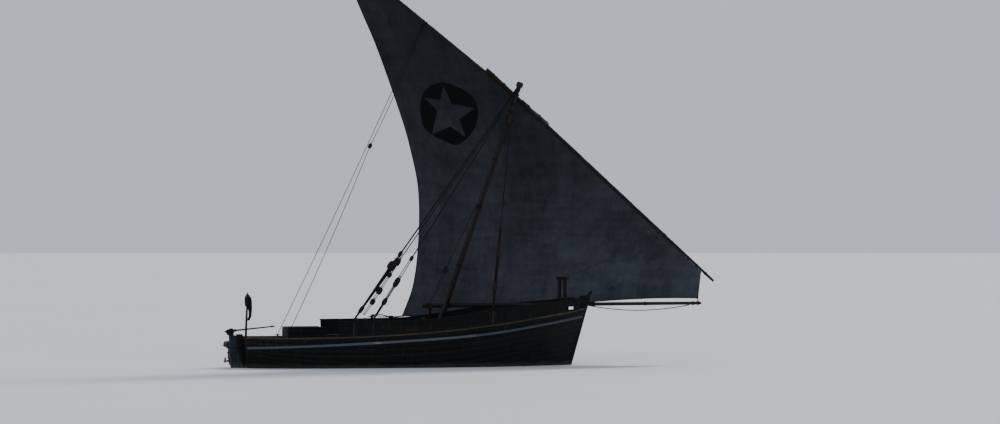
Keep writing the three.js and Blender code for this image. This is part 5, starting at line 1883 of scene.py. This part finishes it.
# name: radius, sag, its points from the boat's end to the yard's end
LINES = {
    "sheet_rope": (0.02, 0.01, [SHEET_CLEAT, SHEET_TURN, SHEET_BLOCK, clew + Vector((-0.02, 0, 0))]),
    "sheet_rope_second": (
        0.016,
        0.02,
        [SHEET_CLEAT + Vector((0.03, 0, -0.03)), SHEET_BLOCK, clew + Vector((-0.02, 0, -0.01))],
    ),
    "after_vang": (0.013, 0.12, [after_foot, on_upper(0.47)]),
    "fore_vang": (0.013, 0.16, [fore_foot, VANG_BLOCK, on_upper(0.5)]),
    "gallows_line": (0.013, 0.03, [(6.09, -0.3, 3.53), on_lower(10.37) + Vector((0, -0.03, -0.03))]),
    "tack_tackle": (0.011, 0, [over_sprit(11.88), tack + Vector((-0.02, 0, 0))]),
    "tack_tackle_second": (0.011, 0, [over_sprit(11.8), tack + Vector((-0.04, 0, 0.02))]),
}
for name, (radius, sag, points) in LINES.items():
    rope = finished(stretched(name, points, radius, sag, 20), tarred_rope if "vang" in name else coir)
    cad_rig.slot(rope, "rope")
    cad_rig.blend(rope, "hull", "rig", points[0], points[-1])
sheet_block = pulley(SHEET_BLOCK, (1, 0.1, 0), 0.2, 0.7, (0, 0.2, 1))
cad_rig.slot(sheet_block, "rope")
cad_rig.blend(sheet_block, "hull", "rig", SHEET_CLEAT, clew)
vang_block = pulley(VANG_BLOCK, (1, 0, 2.2), 0.19)
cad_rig.slot(vang_block, "rope")
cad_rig.blend(vang_block, "hull", "rig", fore_foot, on_upper(0.5))
# middle line and radius of the spar, x, turns of rope
LINE_BANDS = (
    (on_upper, upper_radius, 0.44, 4),
    (on_upper, upper_radius, 0.56, 4),
    (on_lower, lower_radius, 10.37, 4),
    (on_lower, lower_radius, 12.1, 3),
)
line_bands = [band(*spar, x, yard_ahead, turns, 0.009) for *spar, x, turns in LINE_BANDS]
settle(joined("yard_line_bands", line_bands), "rig", wrap_rope, "rope")

# %% Cleats and belayed rope along the rails
# x, y, how far it tilts along and across, length
RAIL_CLEATS = (
    (-1.36, 2.035, 0.1, 0.05, 0.34),
    (-2.45, -2.0, 0, 0, 0.3),
    (-2.75, -1.965, 0, 0, 0.26),
    (-0.1, -2.02, 0, 0, 0.24),
)
rail_cleats = [
    cleat((x, y, strake_top(x) + 0.004), (1, 0, tilt), (lean, 0, 1), length)
    for x, y, tilt, lean, length in RAIL_CLEATS
]
for across, y in VANG_FEET:
    foot = seen(across, CLEATS_DOWN, y)
    sheer, out = on_sheer(foot.x)
    rail_cleats.append(cleat((foot.x, sheer.y - 0.05, sheer.z + 0.043), (1, 0, 0), (0, 0, 1), 0.26))
belayed = []
for piece in rail_cleats[:4]:
    spot = sum((vertex.co for vertex in piece.data.vertices), Vector()) / len(piece.data.vertices)
    belayed.append(lashing("turns", [(spot, 0.035)], (1, 0.15, 0), 4, 0.011))
    belayed.append(lashing("turns", [(spot + Vector((0.02, 0, 0.01)), 0.045)], (1, -0.25, 0.1), 3, 0.011))
settle(joined("rail_cleats", rail_cleats), "hull", upright_wood, "rail_wood")
settle(joined("belayed_turns", belayed), "hull", coir, "rope")

# %% Slack rope under the bowsprit
# A rope hangs slack from the stem to the outer end of the bowsprit. It's free to swing, so it's
# declared with its real length.
SLACK_FROM, SLACK_TO = Vector((7.15, 0, 2.4)), Vector((11.46, 0.075, 2.4))
SLACK_SAG = 0.21
SLACK_RADIUS = 0.017
slack_path = sagging(SLACK_FROM, SLACK_TO, SLACK_SAG, 30)
slack_length = sum((a - b).length for a, b in zip(slack_path, slack_path[1:]))
slack = tube("slack_bow_rope", slack_path, SLACK_RADIUS, 8)
settle(slack, "hull", tarred_rope, "rope")
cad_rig.cord(
    slack,
    exit=SLACK_FROM,
    length=round(slack_length, 3),
    diameter=SLACK_RADIUS * 2,
    far_end="object",
    stiffness="limp",
    lay="hanging",
    path=slack_path,
)
print("the slack rope is", round(slack_length, 2), "metres long")

# %% [markdown]
# ## Stern staff and flag
# With no wind across the stern the flag hangs from its staff in soft upright folds. The cloth is
# one grid whose columns are gathered into pleats, deeper towards the bottom where it's free.

# %% Staff and limp flag
STAFF_FOOT, STAFF_TOP = Vector((-6.745, 0.66, 0.874)), Vector((-6.66, 0.66, 2.965))
staff = pole("stern_staff_pole", STAFF_FOOT, STAFF_TOP, (0.05, 0.034), 0.003, 30, 16, 2)
settle(staff, "hull", upright_wood, "spar_wood", "stern_staff")
# after and fore edge of the bundled cloth from the staff, evenly spaced down from the top
FLAG_EDGES = (
    (-0.03, 0.06),
    (-0.1, 0.17),
    (-0.1, 0.2),
    (-0.08, 0.21),
    (0.05, 0.22),
    (0.09, 0.22),
    (0.09, 0.215),
    (0.045, 0.16),
)
FLAG_TOP, FLAG_FOOT = 2.89, 1.84
FLAG_COLUMNS, FLAG_ROWS = 84, 80
COLUMNS_A_METRE, ROWS_A_METRE = 90, 76
FLAG_FOLDS = 3.6


def beside_staff(z):
    return STAFF_FOOT.lerp(STAFF_TOP, (z - STAFF_FOOT.z) / (STAFF_TOP.z - STAFF_FOOT.z))


def flag_corner(i, j):
    across, hang = i / FLAG_COLUMNS, 1 - j / FLAG_ROWS
    places = range(len(FLAG_EDGES))
    low, high = (float(np.interp(hang * places[-1], places, edge)) for edge in zip(*FLAG_EDGES))
    turn = across * FLAG_FOLDS * math.pi + 0.5 * math.sin(3.2 * hang + across)
    reach = (high - low) / 2 * (0.88 + 0.12 * math.sin(2.3 * across + 4 * hang))
    z = FLAG_TOP - (FLAG_TOP - FLAG_FOOT) * hang + 0.05 * across * hang + 0.015 * math.sin(turn) * hang
    place = beside_staff(z)
    depth = 0.055 + 0.07 * across + 0.012 * math.sin(5 * hang + 2 * turn)
    return place.x + (low + high) / 2 + reach * math.sin(turn), place.y + depth, z


def flag_chart(i, j):
    return i / COLUMNS_A_METRE, j / ROWS_A_METRE


flag = grid("stern_flag_cloth", FLAG_COLUMNS, FLAG_ROWS, flag_corner, flag_chart)
flag_area = sum(face.area for face in flag.data.polygons)
print("the flag's cloth measures", round(flag_area, 3), "square metres")
modify(flag, "SOLIDIFY", thickness=0.003, offset=0)
smooth(flag, 70)
settle(flag, "hull", flag_cloth, "flag_cloth", "stern_flag")
ties = []
for z, reach in ((2.8, 0.05), (2.5, 0.05), (1.9, 0.1)):
    place = beside_staff(z)
    circles = [((place.x, place.y, z), 0.034), ((place.x + reach, place.y + 0.09, z), 0.03)]
    ties.append(lashing("tie", circles, (0, 0, 1), 3, 0.0045))
settle(joined("stern_flag_ties", ties), "hull", coir, "rope")
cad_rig.sheet(
    flag,
    flat=(1.35, 1.1),
    area=round(flag_area * 0.98, 2),
    held="hung",
    rests_on=["stern_staff_pole"],
    with_pieces=["stern_flag_ties"],
)

# %% [markdown]
# ## Rudder and tiller
# A rudder like this is a few thick boards edge to edge, hung on iron pins. The blade starts from
# the frame's solid, because its slots round the pins have to stay clear as it swings. The straps
# that hold the pins, the bolts through them and the sloping head are modelled round it.

# %% Rudder
RUDDER_HALF = 0.042
PIN_HEIGHTS = (-0.9, 0.7)
BLADE_JOINTS = (-7.2, -7.36)


def rudder_axis_x(z):
    return -7.07 - 0.166 * z


joints = [
    ((x - 0.0025, -0.1 + side, -1.3), (x + 0.0025, -0.0375 + side, 1.32))
    for x in BLADE_JOINTS
    for side in (0, 0.1375)
]
blade = softened("rudder_blade_boards", "rudder_blade", edge=0.009, groove=joints)
settle(blade, "rudder", rudder_paint, "rudder_paint", "rudder_blade")
# A bearding strip on the fore edge closes most of the gap to the sternpost. It's narrower than
# the blade, so it stays clear of the post through the whole swing.
# how far ahead of the blade's edge, and half the width there
BEARDING = ((0, 0.034), (0.02, 0.031), (0.03, 0.021), (0.034, 0))
profile = [*BEARDING, *((ahead, -half) for ahead, half in reversed(BEARDING[:-1]))]
bearding = []
for heights in ((-1.26, -0.99), (-0.81, 0.61), (0.79, 1.27)):
    rings = [[(rudder_axis_x(z) + 0.026 + ahead, side, z) for ahead, side in profile] for z in heights]
    bearding.append(skin("bearding", rings, 50))
settle(joined("rudder_bearding", bearding), "rudder", rudder_paint, "rudder_paint")
rudder_irons = []
for z in PIN_HEIGHTS:
    for lift in (-0.1, 0.1):
        low, high = z + lift - 0.028, z + lift + 0.028
        front = rudder_axis_x(z + lift) + 0.012
        for side in (-1, 1):
            near, far = sorted((side * (RUDDER_HALF - 0.001), side * (RUDDER_HALF + 0.008)))
            rudder_irons.append(block("strap", (front - 0.42, near, low), (front, far, high), 0.003))
            for back in (0.06, 0.18, 0.29, 0.39):
                head = line((front - back, side * 0.046, z + lift), (front - back, side * 0.059, z + lift), 2)
                rudder_irons.append(tube("bolt", head, [0.016, 0.015, 0.008], 10))
settle(joined("rudder_irons", rudder_irons), "rudder", iron, "iron_fittings")

# %% Rudder head and tiller
# x and height round the head
HEAD_PROFILE = (
    (-7.57, 1.293),
    (-7.335, 1.293),
    (-7.315, 1.4),
    (-7.33, 1.5),
    (-7.385, 1.572),
    (-7.6, 1.5),
    (-7.635, 1.42),
)
head = skin("rudder_head_block", [[(x, y, z) for x, z in HEAD_PROFILE] for y in (-0.075, 0.075)])
modify(head, "BEVEL", width=0.012, segments=3, limit_method="ANGLE", angle_limit=math.radians(25))
smooth(head)
bolts = [
    tube("bolt", line((x, side * 0.073, z), (x, side * 0.09, z), 2), [0.02, 0.019, 0.01], 12)
    for side in (-1, 1)
    for x, z in ((-7.56, 1.36), (-7.37, 1.36), (-7.4, 1.52))
]
settle(head, "rudder", heavy, "rudder_paint", "rudder_head")
settle(joined("rudder_head_bolts", bolts), "rudder", iron, "iron_fittings")
TILLER = ((-7.69, 0, 1.432), (-5.65, 0, 1.64))
tiller = pole("tiller_pole", *TILLER, (0.036, 0.024), 0.004, 50, 16, 7)
settle(tiller, "rudder", upright_wood, "spar_wood", "tiller")
grip = [
    lashing("grip", [(Vector(TILLER[1]) - Vector((0.14, 0, 0.014)), 0.0255)], (1, 0, 0.102), 9, 0.005),
    lashing("grip", [((-7.27, 0, 1.475), 0.036)], (1, 0, 0.102), 6, 0.009),
]
settle(joined("tiller_wrappings", grip), "rudder", wrap_rope, "rope")
for name in ("lower_gudgeon", "upper_gudgeon"):
    settle(softened(name + "_iron", name, edge=0.004), "hull", iron, "iron_fittings", name)

# %% [markdown]
# ## Outboard motor
# A small outboard hangs on the port side of the transom. The parts that turn in each other start
# from the frame's solids, so their gaps hold through the tilt and the steering. The leg and the
# cowl are cast and moulded forms, so they are lofted through many sections instead.

# %% Bracket and swivel
MOTOR_Y = 0.64
STEER_X = -7.255
LEG_TOP = 0.805
clamp_parts = [softened("bracket", "motor_bracket", edge=0.004)]
for side in (-1, 1):
    stem = line((-7.02, MOTOR_Y + side * 0.06, 0.765), (-6.985, MOTOR_Y + side * 0.06, 0.765), 2)
    clamp_parts.append(tube("screw", stem, 0.012, 10))
settle(joined("motor_clamp", clamp_parts), "hull", iron, "iron_fittings", "motor_bracket")
swivel = softened("motor_swivel_tube", "motor_swivel", edge=0.004)
settle(swivel, "swivel", motor_paint, "motor_paint", "motor_swivel")

# %% Leg and gearcase
PROP_X, PROP_Z = -7.56, 0.25
# height, after and fore edge from the steering axis, and half the thickness
LEG_SECTIONS = (
    (LEG_TOP, -0.2, -0.068, 0.05),
    (0.74, -0.2, -0.068, 0.046),
    (0.6, -0.202, -0.068, 0.038),
    (0.47, -0.208, -0.068, 0.034),
    (0.425, -0.214, -0.068, 0.034),
)
LOWER_SECTIONS = (
    (0.404, -0.212, 0.024, 0.033),
    (0.37, -0.2, 0.012, 0.03),
    (0.33, -0.19, -0.002, 0.026),
    (0.28, -0.18, -0.012, 0.022),
    (0.2, -0.17, -0.024, 0.018),
    (0.13, -0.15, -0.044, 0.013),
    (0.09, -0.125, -0.064, 0.009),
    (0.065, -0.1, -0.082, 0.004),
)


def streamlined(z, aft, fore, half, steps=28):
    """A closed section, blunt ahead and fine behind, round the leg at one height."""
    places = []
    for turn in turns_round(steps):
        along = (1 + math.cos(turn)) / 2
        fullness = math.sin(turn) * (0.55 + 0.45 * along)
        places.append((STEER_X + aft + (fore - aft) * along, MOTOR_Y + half * 1.25 * fullness, z))
    return places


leg_parts = []
for sections in (LEG_SECTIONS, LOWER_SECTIONS):
    leg_parts.append(skin("leg", [streamlined(*section) for section in sections]))
plate_rings = [
    [(STEER_X - 0.12 + 0.14 * math.cos(t), MOTOR_Y + 0.069 * math.sin(t), z) for t in turns_round(32)]
    for z in (0.406, 0.419)
]
plate = skin("plate", plate_rings)
modify(plate, "BEVEL", width=0.004, segments=2, limit_method="ANGLE", angle_limit=math.radians(40))
leg_parts.append(plate)
# distance along the shaft from the propeller's middle, and radius
CASE = ((0.066, 0.036), (0.1, 0.041), (0.16, 0.043), (0.22, 0.04), (0.27, 0.032), (0.3, 0.02), (0.315, 0.006))
case = [(PROP_X + along, MOTOR_Y, PROP_Z) for along, radius in CASE]
leg_parts.append(tube("case", case, [radius for along, radius in CASE], 20))
shaft = [(PROP_X + along, MOTOR_Y, PROP_Z) for along in (0.1, -0.044)]
leg_parts.append(tube("shaft", shaft, 0.0095, 12))
steering = [(STEER_X, MOTOR_Y, z) for z in (0.455, 0.775)]
leg_parts.append(tube("steering", steering, 0.02, 16))
for low, high in ((0.39, 0.46), (0.77, LEG_TOP)):
    corners = (STEER_X - 0.1, MOTOR_Y - 0.044, low), (STEER_X + 0.045, MOTOR_Y + 0.044, high)
    leg_parts.append(block("arm", *corners, 0.012))
settle(joined("motor_leg_casting", leg_parts), "motor", motor_paint, "motor_paint", "motor_leg")

# %% Cowl
COWL_X = STEER_X - 0.145
COWL_LONG, COWL_WIDE = 0.24, 0.12
# share of the full outline and height over the base
COWL = (
    (0.8, 0),
    (0.87, 0.006),
    (0.91, 0.03),
    (0.93, 0.052),
    (0.905, 0.055),
    (0.905, 0.062),
    (0.975, 0.066),
    (1, 0.09),
    (1, 0.13),
    (0.985, 0.16),
    (0.94, 0.186),
    (0.86, 0.208),
    (0.74, 0.224),
    (0.58, 0.234),
    (0.38, 0.239),
    (0.15, 0.24),
)


def rounded_box(share, height, steps=40):
    """An oval with fuller corners than an ellipse, at a height over the cowl's base."""
    z = LEG_TOP + 0.0003 + height
    places = []
    for turn in turns_round(steps):
        c, s = math.cos(turn), math.sin(turn)
        reach = share * (abs(c) ** 2.6 + abs(s) ** 2.6) ** (-1 / 2.6)
        places.append((COWL_X + COWL_LONG * 0.98 * reach * c, MOTOR_Y + COWL_WIDE * 0.97 * reach * s, z))
    return places


cowl = skin("motor_cowl_shell", [rounded_box(*layer) for layer in COWL], 50)
handle = line((COWL_X + 0.19, MOTOR_Y, LEG_TOP + 0.1), (COWL_X + 0.238, MOTOR_Y, LEG_TOP + 0.09), 3)
catch = block("catch", (COWL_X - 0.25, MOTOR_Y - 0.03, 0.845), (COWL_X - 0.21, MOTOR_Y + 0.03, 0.89), 0.006)
cowl = joined("motor_cowl_shell", [cowl, tube("handle", handle, 0.014, 12), catch])
settle(cowl, "motor", motor_paint, "motor_paint", "motor_cowl")

# %% Propeller
# radius, chord, half thickness, and pitch angle from the plane of turning
BLADE = (
    (0.02, 0.05, 0.007, 58),
    (0.045, 0.08, 0.006, 48),
    (0.075, 0.108, 0.005, 38),
    (0.105, 0.115, 0.004, 31),
    (0.13, 0.095, 0.003, 27),
    (0.147, 0.058, 0.002, 25),
    (0.153, 0.02, 0.001, 24),
)


def blade_section(turn, radius, chord, half, pitch, steps=20):
    """A ring of points round one blade at one radius, twisted by its pitch."""
    away = Vector((0, math.cos(turn), math.sin(turn)))
    ahead = Vector((0, -math.sin(turn), math.cos(turn)))
    along = Vector((math.sin(math.radians(pitch)), 0, 0)) + ahead * math.cos(math.radians(pitch))
    across = along.cross(away)
    centre = Vector((PROP_X, MOTOR_Y, PROP_Z)) + away * radius
    return [
        centre + along * chord / 2 * math.cos(t) + across * half * math.sin(t) for t in turns_round(steps)
    ]


# distance along the shaft and radius; it starts and ends inside, on the bore
HUB = (
    (0.058, 0.0125),
    (0.058, 0.031),
    (0.05, 0.034),
    (0, 0.033),
    (-0.05, 0.027),
    (-0.066, 0.023),
    (-0.069, 0.0125),
)
hub_rings = []
for along, radius in (*HUB, HUB[0]):
    ring_points = [(MOTOR_Y + radius * math.cos(t), PROP_Z + radius * math.sin(t)) for t in turns_round(24)]
    hub_rings.append([(PROP_X + along, y, z) for y, z in ring_points])
propeller_parts = [skin("hub", hub_rings)]
for k in range(3):
    turn = math.pi / 2 + 2 * math.pi * k / 3
    propeller_parts.append(skin("blade", [blade_section(turn, *section) for section in BLADE], 60))
propeller = joined("motor_propeller_casting", propeller_parts)
settle(propeller, "propeller", motor_paint, "motor_paint", "motor_propeller")

# %% [markdown]
# ## Size
# The boat as drawn should fill the same box as the frame, so both are written down.

# %% Size
visual_box = [[round(number, 5) for number in corner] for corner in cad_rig.bounds()]
print("the frame's box", cad_box)
print("the finished box", visual_box)
with open("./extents.json", "w") as file:
    json.dump({"cad_box": cad_box, "visual_box": visual_box}, file)
